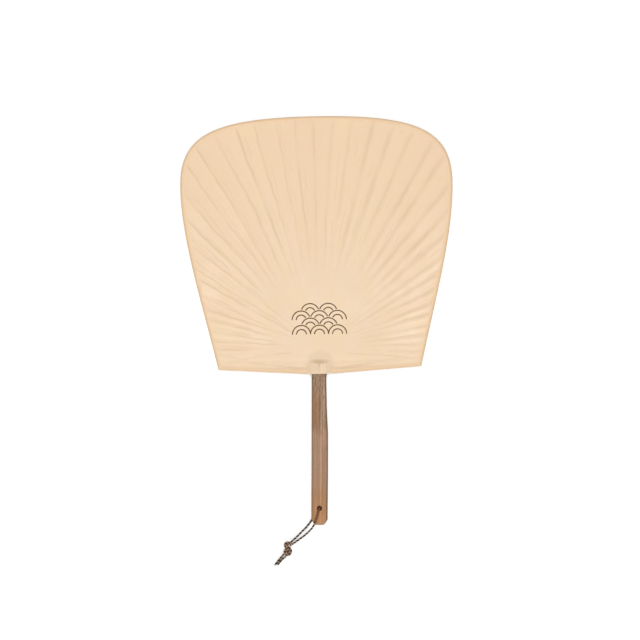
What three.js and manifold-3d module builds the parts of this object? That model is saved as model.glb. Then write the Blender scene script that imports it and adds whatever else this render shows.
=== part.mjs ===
// Flat hand fan of split bamboo and paper, lying flat, with a knotted cord loop through its handle.
// Millimetres. X runs to the right, Y up the handle towards the top of the face, Z out of the front.
// The pieces are made about the bow line on the handle's centre line, and moved at the end so that the
// origin is the middle of the fan's box, without the cord.

import * as THREE from 'three';
import { mergeVertices } from 'three/addons/utils/BufferGeometryUtils.js';
import Module from 'manifold-3d';

const wasm = await Module();
wasm.setup();

// Face outline
const FACE_WIDTH = 250;
const FACE_HEIGHT = 225.2;
const FOOT_WIDTH = 186.2;
const FOOT_DROP = 6.1;
const THROAT_DROP = 11.7;
const WIDEST_SHARE = 0.72;
const SIDE_START_LEAN_SHARE = 0.225;
const SIDE_START_PULL_SHARE = 0.265;
const SIDE_END_PULL_SHARE = 0.213;
const CROWN_RISE_PULL_SHARE = 0.213;
const CROWN_FLAT_PULL_SHARE = 0.38;
const SIDE_STEPS = 10;
const CROWN_STEPS = 16;
const FACE_LEAN = THREE.MathUtils.degToRad(1.1);

// Ribs, split from one strip and fanned out about the hub
const RIB_COUNT = 37;
const RIB_PITCH = THREE.MathUtils.degToRad(5.03);
const RIB_WANDER = THREE.MathUtils.degToRad(0.3);
const RIB_WANDER_BEAT = 2.4;
const RIB_THICKNESS = 1;
const RIB_ROOT_WIDTH = 0.7;
const RIB_WIDTH = 1.3;
const RIB_FULL_RADIUS = 42;
const RIB_END_INSET = 1.5;
const HUB_RISE = 12.4;

// Handle
const HANDLE_THICKNESS = 4;
const GRIP_WIDTH = 15;
const NECK_WIDTH = 13.2;
const WAIST_WIDTH = 13.5;
const WAIST_DROP = 15.5;
const NECK_LENGTH = 44;
const NECK_FLARE_LENGTH = 15;
const HANDLE_DROP = 149.9;
const END_FLAT_WIDTH = 7.9;
const END_CORNER_HEIGHT = 4.5;
const EDGE_EASE = 0.5;
const SHOULDER_LENGTH = 8;
const SHOULDER_SLOPE = 2.5;
const CROWN_RADIUS = 11;
const CROWN_SIDES = 48;
const CORD_HOLE_DIAMETER = 4.2;
const CORD_HOLE_RISE = 15.3;
const CORD_HOLE_SIDES = 24;

// Bow, the thin bamboo that the weaving thread bends the ribs from
const BOW_DROP = 4;
const BOW_WIDTH = 2.2;
const BOW_TIP_WIDTH = 1.3;
const BOW_THICKNESS = 1;
const BOW_END_INSET = 6;
const BOW_TIP_RISE = 2.6;
const BOW_STEPS = 12;

// Weaving thread
const THREAD_DIAMETER = 0.24;
const THREAD_SIDES = 6;
const THREAD_GAP = 0.03;
const ARCH_HALF_WIDTH = 54;
const ARCH_HEIGHT = 46;
const ARCH_POWER = 3;

// Paper
const PAPER_THICKNESS = 0.2;
const VALLEY_DEPTH = 0.45;
const VALLEY_RUN = 0.9;
const VALLEY_RUN_SHARE = 0.6;
const RIDGE_MARGIN = 0.1;
const RIDGE_FADE_LENGTH = 16;
const RIDGE_ROWS = 3;
const HUB_DISC_RADIUS = 14;
const HUB_RING_RADIUS = 12;
const TENT_SIDE_RUN = 4.2;
const TENT_TOP_RUN = 5;

// Paper bindings
const RIM_BAND = 3;
const FOOT_BAND = 3;
const BINDING_THICKNESS = 0.2;

// Cord, its knot and its tails
const CORD_DIAMETER = 1.8;
const CORD_SIDES = 8;
const STRAND_STEPS = 34;
const TAIL_STEPS = 6;
const TIP_LENGTH = 1.3;
const TIP_DIAMETER = 1.85;

// Clearances and cutting overrun
const GAP = 0.3;
const OVERRUN = 2;

// Colours
const BAMBOO = { color: 0xa58267, roughness: 0.55, metalness: 0 };
const RIB_BAMBOO = { color: 0xd8b98a, roughness: 0.6, metalness: 0 };
const PAPER = { color: 0xf1d8b8, roughness: 0.85, metalness: 0 };
const BINDING = { color: 0xeccda2, roughness: 0.8, metalness: 0 };
const THREAD = { color: 0xe6d8c0, roughness: 0.9, metalness: 0 };
const CORD = { color: 0x6b5444, roughness: 0.85, metalness: 0 };
const TIP = { color: 0xb5b0a8, roughness: 0.7, metalness: 0 };

// Levels, from the middle of the fan outwards
const RIB_TOP = RIB_THICKNESS / 2;
const PAPER_INNER = RIB_TOP + GAP;
const PAPER_OUTER = PAPER_INNER + PAPER_THICKNESS;
const HANDLE_TOP = HANDLE_THICKNESS / 2;
const HALF_FACE = FACE_WIDTH / 2;
const HALF_GRIP = GRIP_WIDTH / 2;
const HALF_NECK = NECK_WIDTH / 2;
const HALF_WAIST = WAIST_WIDTH / 2;

// Joining and cutting of closed solids
const solidOf = (geometry) => {
  const bare = new THREE.BufferGeometry();
  bare.setAttribute('position', geometry.getAttribute('position').clone());
  if (geometry.index) {
    bare.setIndex(geometry.index.clone());
  }
  const merged = mergeVertices(bare, 1e-5);
  return new wasm.Manifold(new wasm.Mesh({
    numProp: 3,
    vertProperties: new Float32Array(merged.getAttribute('position').array),
    triVerts: new Uint32Array(merged.index.array),
  }));
};

const geometryOf = (solid) => {
  const mesh = solid.getMesh();
  const geometry = new THREE.BufferGeometry();
  geometry.setAttribute('position', new THREE.BufferAttribute(new Float32Array(mesh.vertProperties), 3));
  geometry.setIndex(Array.from(mesh.triVerts));
  geometry.computeVertexNormals();
  return geometry;
};

// A closed mesh with its faces turned outwards
const indexed = (points, faces) => {
  let volume = 0;
  for (let face = 0; face < faces.length; face += 3) {
    const [a, b, c] = faces.slice(face, face + 3).map((corner) => points[corner]);
    volume += a.clone().cross(b).dot(c);
  }
  const geometry = new THREE.BufferGeometry();
  geometry.setFromPoints(points);
  geometry.setIndex(volume > 0 ? faces : faces.toReversed());
  geometry.computeVertexNormals();
  return geometry;
};

// A closed solid through rings of equally many points
const loft = (rings, section) => {
  const count = section.length;
  const faces = [];
  for (let ring = 0; ring + 1 < rings.length; ring += 1) {
    for (let side = 0; side < count; side += 1) {
      const next = (side + 1) % count;
      const a = ring * count + side;
      const b = ring * count + next;
      faces.push(a, b, b + count, a, b + count, a + count);
    }
  }
  const last = (rings.length - 1) * count;
  for (const [a, b, c] of THREE.ShapeUtils.triangulateShape(section, [])) {
    faces.push(a, c, b, last + a, last + b, last + c);
  }
  return indexed(rings.flat(), faces);
};

// A thin solid from a grid of inner points, thickened along Z
const sheet = (grid, thickness) => {
  const rows = grid.length;
  const columns = grid[0].length;
  const lift = new THREE.Vector3(0, 0, thickness);
  const inner = grid.flat();
  const points = [...inner, ...inner.map((point) => point.clone().add(lift))];
  const outer = inner.length;
  const at = (row, column) => row * columns + column;
  const faces = [];
  for (let row = 0; row + 1 < rows; row += 1) {
    for (let column = 0; column + 1 < columns; column += 1) {
      const [a, b] = [at(row, column), at(row, column + 1)];
      const [d, c] = [at(row + 1, column), at(row + 1, column + 1)];
      faces.push(a, c, b, a, d, c);
      faces.push(outer + a, outer + b, outer + c, outer + a, outer + c, outer + d);
    }
  }
  const wall = (a, b) => faces.push(a, b, outer + b, a, outer + b, outer + a);
  for (let column = 0; column + 1 < columns; column += 1) {
    wall(at(rows - 1, column + 1), at(rows - 1, column));
    wall(at(0, column), at(0, column + 1));
  }
  for (let row = 0; row + 1 < rows; row += 1) {
    wall(at(row + 1, 0), at(row, 0));
    wall(at(row, columns - 1), at(row + 1, columns - 1));
  }
  return indexed(points, faces);
};

const prism = (points, low, high) => {
  const geometry = new THREE.ExtrudeGeometry(new THREE.Shape(points), {
    depth: high - low,
    bevelEnabled: false,
  });
  return geometry.translate(0, 0, low);
};

const circlePoints = (radius, sides, x, y) => Array.from({ length: sides }, (_, side) => {
  const angle = (side / sides) * 2 * Math.PI;
  return new THREE.Vector2(x + radius * Math.cos(angle), y + radius * Math.sin(angle));
});

// Half outline of the face, from its lower right corner to the middle of its top
const widest = FACE_HEIGHT * WIDEST_SHARE;
const footCorner = new THREE.Vector2(FOOT_WIDTH / 2, -FOOT_DROP);
const sidePull = FACE_HEIGHT * SIDE_START_PULL_SHARE;
const sideCurve = new THREE.CubicBezierCurve(
  footCorner,
  new THREE.Vector2(footCorner.x + sidePull * SIDE_START_LEAN_SHARE, footCorner.y + sidePull),
  new THREE.Vector2(HALF_FACE, widest - FACE_HEIGHT * SIDE_END_PULL_SHARE),
  new THREE.Vector2(HALF_FACE, widest),
);
const crownCurve = new THREE.CubicBezierCurve(
  new THREE.Vector2(HALF_FACE, widest),
  new THREE.Vector2(HALF_FACE, widest + FACE_HEIGHT * CROWN_RISE_PULL_SHARE),
  new THREE.Vector2(FACE_WIDTH * CROWN_FLAT_PULL_SHARE, FACE_HEIGHT),
  new THREE.Vector2(0, FACE_HEIGHT),
);
const rightHalf = [...sideCurve.getPoints(SIDE_STEPS), ...crownCurve.getPoints(CROWN_STEPS).slice(1)];
const leftHalf = rightHalf.slice(0, -1).reverse().map((point) => new THREE.Vector2(-point.x, point.y));
const throatRight = new THREE.Vector2(HALF_NECK, -THROAT_DROP);
const throatLeft = new THREE.Vector2(-HALF_NECK, -THROAT_DROP);
const outline = [throatRight, ...rightHalf, ...leftHalf, throatLeft];

// Directions into the face at each point of the outline, long enough to keep a band's width at corners
const inward = outline.map((point, index) => {
  const before = outline[(index + outline.length - 1) % outline.length];
  const after = outline[(index + 1) % outline.length];
  const first = point.clone().sub(before).normalize();
  const second = after.clone().sub(point).normalize();
  const bisector = new THREE.Vector2(-first.y - second.y, first.x + second.x);
  return bisector.divideScalar(1 + first.dot(second));
});
const insetOutline = (distance) => outline.map((point, index) => point.clone().addScaledVector(inward[index], distance));

const hub = new THREE.Vector2(0, HUB_RISE);
const fromHub = (angle, radius) => new THREE.Vector2(Math.sin(angle), Math.cos(angle)).multiplyScalar(radius).add(hub);

// How far the outline is from the hub in one direction
const rimRadius = (angle) => {
  const direction = new THREE.Vector2(Math.sin(angle), Math.cos(angle));
  let reach = 0;
  outline.forEach((start, index) => {
    const edge = outline[(index + 1) % outline.length].clone().sub(start);
    const offset = start.clone().sub(hub);
    const bend = direction.cross(edge);
    const along = offset.cross(edge) / bend;
    const share = offset.cross(direction) / bend;
    if (along > 0 && share >= 0 && share <= 1) {
      reach = Math.max(reach, along);
    }
  });
  return reach;
};

const archRadius = (angle) => {
  const across = Math.abs(Math.sin(angle) / ARCH_HALF_WIDTH) ** ARCH_POWER;
  const up = Math.abs(Math.cos(angle) / ARCH_HEIGHT) ** ARCH_POWER;
  return (across + up) ** (-1 / ARCH_POWER);
};

// Ribs
const ribAngles = Array.from({ length: RIB_COUNT }, (_, index) => {
  const place = index - (RIB_COUNT - 1) / 2;
  return place * RIB_PITCH + RIB_WANDER * Math.sin(place * RIB_WANDER_BEAT);
});
const ribWidthAt = (radius) => {
  const share = THREE.MathUtils.clamp((radius - CROWN_RADIUS) / (RIB_FULL_RADIUS - CROWN_RADIUS), 0, 1);
  return THREE.MathUtils.lerp(RIB_ROOT_WIDTH, RIB_WIDTH, share);
};
const barSection = [[-1, -1], [1, -1], [1, 1], [-1, 1]].map(([x, y]) => new THREE.Vector2(x, y));
const bar = (stations) => loft(stations.map(({ centre, across, halfSpan, halfHeight }) => barSection.map((corner) => (
  new THREE.Vector3(
    centre.x + across.x * corner.x * halfSpan,
    centre.y + across.y * corner.x * halfSpan,
    corner.y * halfHeight,
  )
))), barSection);

const rib = (angle) => {
  const half = RIB_WIDTH / 2 / HALF_FACE;
  const end = Math.min(rimRadius(angle - half), rimRadius(angle + half)) - RIB_END_INSET;
  const across = new THREE.Vector2(-Math.cos(angle), Math.sin(angle));
  return bar([CROWN_RADIUS + GAP, RIB_FULL_RADIUS, end].map((radius) => ({
    centre: fromHub(angle, radius),
    across,
    halfSpan: ribWidthAt(radius) / 2,
    halfHeight: RIB_TOP,
  })));
};

// Bow, through the shoulder of the handle and out to both lower corners
const bow = () => {
  const reach = FOOT_WIDTH / 2 - BOW_END_INSET;
  const stations = [];
  for (let step = 0; step <= BOW_STEPS; step += 1) {
    const share = 1 - (2 * step) / BOW_STEPS;
    stations.push({
      centre: new THREE.Vector2(reach * share, -BOW_DROP + BOW_TIP_RISE * share * share),
      across: new THREE.Vector2(0, 1),
      halfSpan: THREE.MathUtils.lerp(BOW_WIDTH, BOW_TIP_WIDTH, Math.abs(share)) / 2,
      halfHeight: BOW_THICKNESS / 2,
    });
  }
  return bar(stations);
};

// Thread, over one rib and under the next along an arch round the hub
const thread = () => {
  const swing = RIB_TOP + THREAD_GAP + THREAD_DIAMETER / 2;
  const route = [];
  ribAngles.forEach((angle, index) => {
    const radius = archRadius(angle);
    const half = (ribWidthAt(radius) / 2 + THREAD_DIAMETER) / radius;
    const height = index % 2 === 0 ? swing : -swing;
    for (const side of [-half, half]) {
      const place = fromHub(angle + side, archRadius(angle + side));
      route.push(new THREE.Vector3(place.x, place.y, height));
    }
  });
  const section = circlePoints(THREAD_DIAMETER / 2, THREAD_SIDES, 0, 0);
  const up = new THREE.Vector3(0, 0, 1);
  const rings = route.map((point, index) => {
    const before = route[Math.max(index - 1, 0)];
    const after = route[Math.min(index + 1, route.length - 1)];
    const along = after.clone().sub(before).normalize();
    const side = new THREE.Vector3().crossVectors(up, along).normalize();
    const top = new THREE.Vector3().crossVectors(along, side);
    return section.map(({ x, y }) => point.clone().addScaledVector(side, x).addScaledVector(top, y));
  });
  return loft(rings, section);
};

// Handle: a grip with eased edges and a cord hole, a shoulder with the bow's channel, a thin crown
const holeDrop = HANDLE_DROP - CORD_HOLE_RISE;
const slabOfCells = (cells, halfHeight, ease) => {
  const points = [];
  const places = new Map();
  const indexOf = (point) => {
    const key = `${point.x.toFixed(5)} ${point.y.toFixed(5)}`;
    if (!places.has(key)) {
      places.set(key, points.length);
      points.push(point);
    }
    return places.get(key);
  };
  const caps = [];
  const edges = new Map();
  for (const { contour, holes } of cells) {
    const flat = [...contour, ...holes.flat()];
    for (const [i, j, k] of THREE.ShapeUtils.triangulateShape(contour, holes)) {
      const corners = [i, j, k].map((corner) => indexOf(flat[corner]));
      const [a, b, c] = corners.map((corner) => points[corner]);
      const area = b.clone().sub(a).cross(c.clone().sub(a));
      caps.push(area > 0 ? corners : [corners[0], corners[2], corners[1]]);
    }
  }
  for (const [a, b, c] of caps) {
    for (const [start, end] of [[a, b], [b, c], [c, a]]) {
      edges.set(`${start} ${end}`, [start, end]);
    }
  }
  const border = [...edges.values()].filter(([start, end]) => !edges.has(`${end} ${start}`));
  const outOf = points.map(() => []);
  for (const [start, end] of border) {
    const along = points[end].clone().sub(points[start]).normalize();
    const normal = new THREE.Vector2(along.y, -along.x);
    outOf[start].push(normal);
    outOf[end].push(normal);
  }
  const spread = points.map((point, index) => {
    const [first, second] = outOf[index];
    return first ? first.clone().add(second).divideScalar(1 + first.dot(second)).multiplyScalar(ease).add(point) : point;
  });
  const layers = [
    points.map(({ x, y }) => new THREE.Vector3(x, y, -halfHeight)),
    spread.map(({ x, y }) => new THREE.Vector3(x, y, -halfHeight + ease)),
    spread.map(({ x, y }) => new THREE.Vector3(x, y, halfHeight - ease)),
    points.map(({ x, y }) => new THREE.Vector3(x, y, halfHeight)),
  ];
  const corners = [];
  const corner = (layer, index) => corners.push(layers[layer][index]);
  for (const [a, b, c] of caps) {
    [a, b, c].forEach((index) => corner(3, index));
    [a, c, b].forEach((index) => corner(0, index));
  }
  for (const [start, end] of border) {
    for (let layer = 0; layer < 3; layer += 1) {
      corner(layer, start);
      corner(layer, end);
      corner(layer + 1, end);
      corner(layer, start);
      corner(layer + 1, end);
      corner(layer + 1, start);
    }
  }
  return new THREE.BufferGeometry().setFromPoints(corners);
};

const handle = () => {
  const grip = HALF_GRIP - EDGE_EASE;
  const neck = HALF_NECK - EDGE_EASE;
  const waist = HALF_WAIST - EDGE_EASE;
  const foot = END_FLAT_WIDTH / 2;
  const bottom = -HANDLE_DROP + EDGE_EASE;
  const cornerTop = bottom + END_CORNER_HEIGHT;
  const flareBottom = -NECK_LENGTH - NECK_FLARE_LENGTH;
  const neckTop = -SHOULDER_LENGTH + EDGE_EASE;
  const holeTop = -holeDrop + CORD_HOLE_RISE;
  const row = (half, y) => [new THREE.Vector2(-half, y), new THREE.Vector2(half, y)];
  const cell = (lower, upper) => ({ contour: [...lower, upper[1], upper[0]], holes: [] });
  const rows = [
    row(grip, holeTop),
    row(grip, flareBottom),
    row(waist, -NECK_LENGTH),
    row(waist, -WAIST_DROP),
    row(neck, neckTop),
  ];
  const hole = circlePoints(CORD_HOLE_DIAMETER / 2 + EDGE_EASE, CORD_HOLE_SIDES, 0, -holeDrop);
  const end = [...row(foot, bottom), new THREE.Vector2(grip, cornerTop), ...row(grip, holeTop).reverse(),
    new THREE.Vector2(-grip, cornerTop)];
  const cells = [{ contour: end, holes: [hole] }];
  for (let index = 0; index + 1 < rows.length; index += 1) {
    cells.push(cell(rows[index], rows[index + 1]));
  }
  const blade = solidOf(slabOfCells(cells, HANDLE_TOP, EDGE_EASE));

  const lower = -SHOULDER_LENGTH - EDGE_EASE;
  const profile = new THREE.Shape([
    new THREE.Vector2(lower, -HANDLE_TOP),
    new THREE.Vector2(0, -HANDLE_TOP),
    new THREE.Vector2(SHOULDER_SLOPE, -RIB_TOP),
    new THREE.Vector2(SHOULDER_SLOPE, RIB_TOP),
    new THREE.Vector2(0, HANDLE_TOP),
    new THREE.Vector2(lower, HANDLE_TOP),
  ]);
  const slotSpan = BOW_WIDTH / 2 + GAP;
  const slotHeight = BOW_THICKNESS / 2 + GAP;
  profile.holes.push(new THREE.Path([
    new THREE.Vector2(-BOW_DROP - slotSpan, -slotHeight),
    new THREE.Vector2(-BOW_DROP - slotSpan, slotHeight),
    new THREE.Vector2(-BOW_DROP + slotSpan, slotHeight),
    new THREE.Vector2(-BOW_DROP + slotSpan, -slotHeight),
  ]));
  const block = new THREE.ExtrudeGeometry(profile, { depth: NECK_WIDTH, bevelEnabled: false });
  block.translate(0, 0, -HALF_NECK);
  block.applyMatrix4(new THREE.Matrix4().makeBasis(
    new THREE.Vector3(0, 1, 0),
    new THREE.Vector3(0, 0, 1),
    new THREE.Vector3(1, 0, 0),
  ));
  const strip = prism([...row(HALF_NECK, SHOULDER_SLOPE / 2), ...row(HALF_NECK, HUB_RISE).reverse()], -RIB_TOP, RIB_TOP);
  const disc = prism(circlePoints(CROWN_RADIUS, CROWN_SIDES, hub.x, hub.y), -RIB_TOP, RIB_TOP);
  return geometryOf(blade.add(solidOf(block)).add(solidOf(strip)).add(solidOf(disc)));
};

// Front paper: ridged over the ribs, flat round the hub, raised over the shoulder of the handle
const ridgeColumns = () => {
  const columns = [];
  const lastPlace = RIB_COUNT - 1;
  ribAngles.forEach((angle, index) => {
    const edge = (side) => (radius) => {
      const half = ribWidthAt(radius) / 2 + RIDGE_MARGIN;
      return angle + (side * half) / radius;
    };
    const foot = (side) => (radius) => {
      const half = ribWidthAt(radius) / 2 + RIDGE_MARGIN;
      const room = (radius * RIB_PITCH) / 2 - half;
      return angle + (side * (half + Math.min(VALLEY_RUN, VALLEY_RUN_SHARE * room))) / radius;
    };
    columns.push({ angleAt: foot(-1), sunk: index > 0 });
    columns.push({ angleAt: edge(-1), sunk: false });
    columns.push({ angleAt: edge(1), sunk: false });
    columns.push({ angleAt: foot(1), sunk: index < lastPlace });
  });
  const margin = RIB_PITCH;
  columns.unshift({ angleAt: () => ribAngles[0] - margin, sunk: false });
  columns.push({ angleAt: () => ribAngles[lastPlace] + margin, sunk: false });
  return columns;
};

const frontPaper = () => {
  const columns = ridgeColumns();
  const rowCount = RIDGE_ROWS + 3;
  const grid = [];
  for (let row = 0; row < rowCount; row += 1) {
    grid.push(columns.map(({ angleAt, sunk }) => {
      const guess = angleAt(ARCH_HEIGHT);
      const arch = archRadius(guess);
      const rim = rimRadius(guess) + OVERRUN;
      const full = arch + RIDGE_FADE_LENGTH;
      const radii = [HUB_RING_RADIUS, arch];
      for (let step = 0; step <= RIDGE_ROWS; step += 1) {
        radii.push(THREE.MathUtils.lerp(full, rim, step / RIDGE_ROWS));
      }
      const place = fromHub(angleAt(radii[row]), radii[row]);
      const depth = sunk && row > 1 ? VALLEY_DEPTH : 0;
      return new THREE.Vector3(place.x, place.y, PAPER_INNER - depth);
    }));
  }
  const ridged = solidOf(sheet(grid, PAPER_THICKNESS));
  const disc = solidOf(prism(circlePoints(HUB_DISC_RADIUS, CROWN_SIDES, hub.x, hub.y), PAPER_INNER, PAPER_OUTER));
  const reach = HALF_FACE + OVERRUN;
  const lastAngle = ribAngles[RIB_COUNT - 1] + RIB_PITCH / 2;
  const foot = solidOf(prism([
    hub,
    fromHub(-lastAngle, reach),
    new THREE.Vector2(-reach, -THROAT_DROP - OVERRUN),
    new THREE.Vector2(reach, -THROAT_DROP - OVERRUN),
    fromHub(lastAngle, reach),
  ], PAPER_INNER, PAPER_OUTER));
  const tent = (inset) => {
    const bottom = -THROAT_DROP - OVERRUN;
    const wide = HALF_NECK + GAP + PAPER_THICKNESS + TENT_SIDE_RUN - inset;
    const narrow = HALF_NECK + GAP + PAPER_THICKNESS - inset;
    const low = PAPER_OUTER - inset;
    const high = HANDLE_TOP + GAP + PAPER_THICKNESS - inset;
    const ridge = SHOULDER_SLOPE / 2 + PAPER_THICKNESS - inset;
    const base = low - PAPER_THICKNESS;
    const level = (half, top, z) => [
      new THREE.Vector3(-half, bottom, z),
      new THREE.Vector3(half, bottom, z),
      new THREE.Vector3(half, top, z),
      new THREE.Vector3(-half, top, z),
    ];
    return solidOf(loft([
      level(wide, ridge + TENT_TOP_RUN, base),
      level(wide, ridge + TENT_TOP_RUN, low),
      level(narrow, ridge, high),
    ], barSection));
  };
  const whole = ridged.add(disc).add(foot).add(tent(0)).subtract(tent(PAPER_THICKNESS));
  const cut = solidOf(prism(insetOutline(BINDING_THICKNESS + GAP), -HANDLE_THICKNESS, HANDLE_THICKNESS));
  return whole.intersect(cut);
};

// Bindings: paper strips folded round the edge, mitred at the lower corners
const bindingSection = (band) => {
  const outer = PAPER_OUTER + BINDING_THICKNESS;
  return [
    [0, -outer], [band, -outer], [band, -PAPER_OUTER], [BINDING_THICKNESS, -PAPER_OUTER],
    [BINDING_THICKNESS, PAPER_OUTER], [band, PAPER_OUTER], [band, outer], [0, outer],
  ].map(([depth, z]) => new THREE.Vector2(depth, z));
};
const binding = (from, to, band, slide) => {
  const section = bindingSection(band);
  const rings = [];
  for (let index = from; index <= to; index += 1) {
    const shift = slide(index);
    rings.push(section.map(({ x, y }) => {
      const point = outline[index].clone().addScaledVector(inward[index], x).add(shift);
      return new THREE.Vector3(point.x, point.y, y);
    }));
  }
  return loft(rings, section);
};
const none = new THREE.Vector2();
const lastPoint = outline.length - 1;
const footBinding = (side) => {
  const throat = side > 0 ? outline[0] : outline[lastPoint];
  const corner = side > 0 ? outline[1] : outline[lastPoint - 1];
  const along = corner.clone().sub(throat).normalize();
  const start = HALF_NECK + 2 * GAP + PAPER_THICKNESS + TENT_SIDE_RUN;
  const begin = throat.clone().addScaledVector(along, (start - HALF_NECK) / Math.abs(along.x));
  const square = new THREE.Vector2(-along.y * side, along.x * side);
  const cornerInward = side > 0 ? inward[1] : inward[lastPoint - 1];
  const section = bindingSection(FOOT_BAND);
  const ends = [
    section.map(({ x, y }) => {
      const point = begin.clone().addScaledVector(square, x);
      return new THREE.Vector3(point.x, point.y, y);
    }),
    section.map(({ x, y }) => {
      const point = corner.clone().addScaledVector(along, -GAP).addScaledVector(cornerInward, x);
      return new THREE.Vector3(point.x, point.y, y);
    }),
  ];
  return loft(side > 0 ? ends : ends.reverse(), section);
};

// Cord: two strands that meet inside the hole and run to the knot, lying on the ground beyond the handle
const frontRoute = [
  [0.1, -134.4, 0.15], [0, -134.6, 1.3], [-0.25, -135.5, 2.55], [-0.8, -137.2, 3.1], [-1.5, -139.6, 3.13],
  [-2.4, -142.8, 3.13], [-3.5, -146, 3.13], [-4.75, -149, 3.1], [-6.2, -151.8, 2.1], [-8.1, -154.3, 0.3],
  [-10.3, -156.8, -1.5], [-12.7, -159.2, -2.75], [-15.4, -161.4, -3.1], [-18.6, -163.7, -3.05],
  [-22.2, -166.2, -2.4], [-25.6, -168.3, -1.65],
];
const backRoute = [
  [0.1, -134.4, -0.15], [0, -134.6, -1.3], [-0.4, -135.4, -2.6], [-1.4, -136.8, -3.08], [-2.9, -139, -3.12],
  [-4.5, -141.5, -3.12], [-6.2, -144.2, -3.12], [-8, -147.1, -3.12], [-10.1, -150, -3.12],
  [-12.7, -153.1, -3.12], [-15.8, -156.2, -3.12], [-18.8, -159.3, -3.1], [-21.6, -162, -2.8],
  [-24.1, -164.2, -2.2], [-26.5, -166.25, -1.5],
];
const leftTailRoute = [
  [-32.9, -177.2, -1.5], [-34, -178.6, -1.9], [-35.3, -180.1, -2.5], [-36.8, -181.9, -2.95],
  [-38.2, -183.7, -3.12], [-39.6, -185.5, -3.12], [-40.5, -186.8, -3.12],
];
const rightTailRoute = [
  [-31, -179.3, -1.5], [-32, -180.1, -1.9], [-33.4, -181.35, -2.5], [-34.75, -182.75, -2.95],
  [-36.1, -184.3, -3.12], [-37.2, -185.7, -3.12], [-37.9, -186.6, -3.12],
];
const tube = (route, radius, sides, steps) => {
  const curve = new THREE.CatmullRomCurve3(route.map(([x, y, z]) => new THREE.Vector3(x, y, z)), false, 'centripetal');
  return new THREE.ExtrudeGeometry(new THREE.Shape(circlePoints(radius, sides, 0, 0)), {
    steps,
    bevelEnabled: false,
    extrudePath: curve,
  });
};
const tip = (route) => {
  const [before, last] = route.slice(-2).map(([x, y, z]) => new THREE.Vector3(x, y, z));
  const along = last.clone().sub(before).normalize();
  const geometry = new THREE.CylinderGeometry(TIP_DIAMETER / 2, TIP_DIAMETER / 2, TIP_LENGTH, CORD_SIDES);
  geometry.applyQuaternion(new THREE.Quaternion().setFromUnitVectors(new THREE.Vector3(0, 1, 0), along));
  const centre = last.clone().addScaledVector(along, GAP + TIP_LENGTH / 2);
  return geometry.translate(centre.x, centre.y, centre.z);
};

// Knot: two lobes and the turn of cord that wraps round between them
const KNOT_UPPER = { centre: [-29.4, -168.1, -1.3], size: [3.1, 2.9, 2.5], turn: 0.5 };
const KNOT_LOWER = { centre: [-28.9, -174.6, -1], size: [4, 4.6, 2.9], turn: -0.3 };
const KNOT_WRAP = { centre: [-29.3, -171.2, -0.95], radius: 2.1, thickness: 1, lean: 0.35 };
const KNOT_SIDES = 16;
const KNOT_RINGS = 10;
const lobe = ({ centre, size, turn }) => {
  const geometry = new THREE.SphereGeometry(1, KNOT_SIDES, KNOT_RINGS);
  geometry.scale(...size).rotateZ(turn).translate(...centre);
  return solidOf(geometry);
};
const knot = () => {
  const { centre, radius, thickness, lean } = KNOT_WRAP;
  const wrap = new THREE.TorusGeometry(radius, thickness, KNOT_RINGS, KNOT_SIDES);
  wrap.rotateX(Math.PI / 2).rotateZ(lean).translate(...centre);
  return geometryOf(lobe(KNOT_UPPER).add(lobe(KNOT_LOWER)).add(solidOf(wrap)));
};

// Assembly
const part = new THREE.Group();
const fan = new THREE.Group();
const face = new THREE.Group();
const leanPivot = new THREE.Group();
const addMesh = (group, name, geometry, finish) => {
  const mesh = new THREE.Mesh(geometry, new THREE.MeshStandardMaterial(finish));
  mesh.name = name;
  group.add(mesh);
};

addMesh(fan, 'handle', handle(), BAMBOO);
addMesh(face, 'bow', bow(), RIB_BAMBOO);
addMesh(face, 'weaving_thread', thread(), THREAD);
ribAngles.forEach((angle, index) => {
  addMesh(face, `rib_${String(index + 1).padStart(2, '0')}`, rib(angle), RIB_BAMBOO);
});
const front = frontPaper();
addMesh(face, 'front_paper', geometryOf(front), PAPER);
addMesh(face, 'back_paper', geometryOf(front.mirror([0, 0, 1])), PAPER);
addMesh(face, 'rim_binding', binding(1, lastPoint - 1, RIM_BAND, () => none), BINDING);
addMesh(face, 'foot_binding_right', footBinding(1), BINDING);
addMesh(face, 'foot_binding_left', footBinding(-1), BINDING);

leanPivot.position.set(hub.x, hub.y, 0);
leanPivot.rotation.z = FACE_LEAN;
face.position.set(-hub.x, -hub.y, 0);
leanPivot.add(face);
fan.add(leanPivot);
part.add(fan);

const strandRadius = CORD_DIAMETER / 2;
addMesh(part, 'cord_front', tube(frontRoute, strandRadius, CORD_SIDES, STRAND_STEPS), CORD);
addMesh(part, 'cord_back', tube(backRoute, strandRadius, CORD_SIDES, STRAND_STEPS), CORD);
addMesh(part, 'cord_knot', knot(), CORD);
addMesh(part, 'cord_tail_left', tube(leftTailRoute, strandRadius, CORD_SIDES, TAIL_STEPS), CORD);
addMesh(part, 'cord_tail_right', tube(rightTailRoute, strandRadius, CORD_SIDES, TAIL_STEPS), CORD);
addMesh(part, 'tail_tip_left', tip(leftTailRoute), TIP);
addMesh(part, 'tail_tip_right', tip(rightTailRoute), TIP);

// Origin at the middle of the fan's box
fan.updateMatrixWorld(true);
const middle = new THREE.Box3().setFromObject(fan, true).getCenter(new THREE.Vector3());
part.position.copy(middle).negate();

export default part;
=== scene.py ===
"""Flat bamboo and paper hand fan with a knotted cord loop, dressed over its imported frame.

Lengths are in metres. Places on the fan are given from the bow point, which is where the bow crosses the
middle of the handle, with X to the right, Y towards the top of the face and Z out of the front, and are moved
into the frame by BOW_POINT.
"""
import logging
import math
from dataclasses import dataclass, field
from enum import Enum
from functools import partial, reduce
from typing import Sequence

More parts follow.
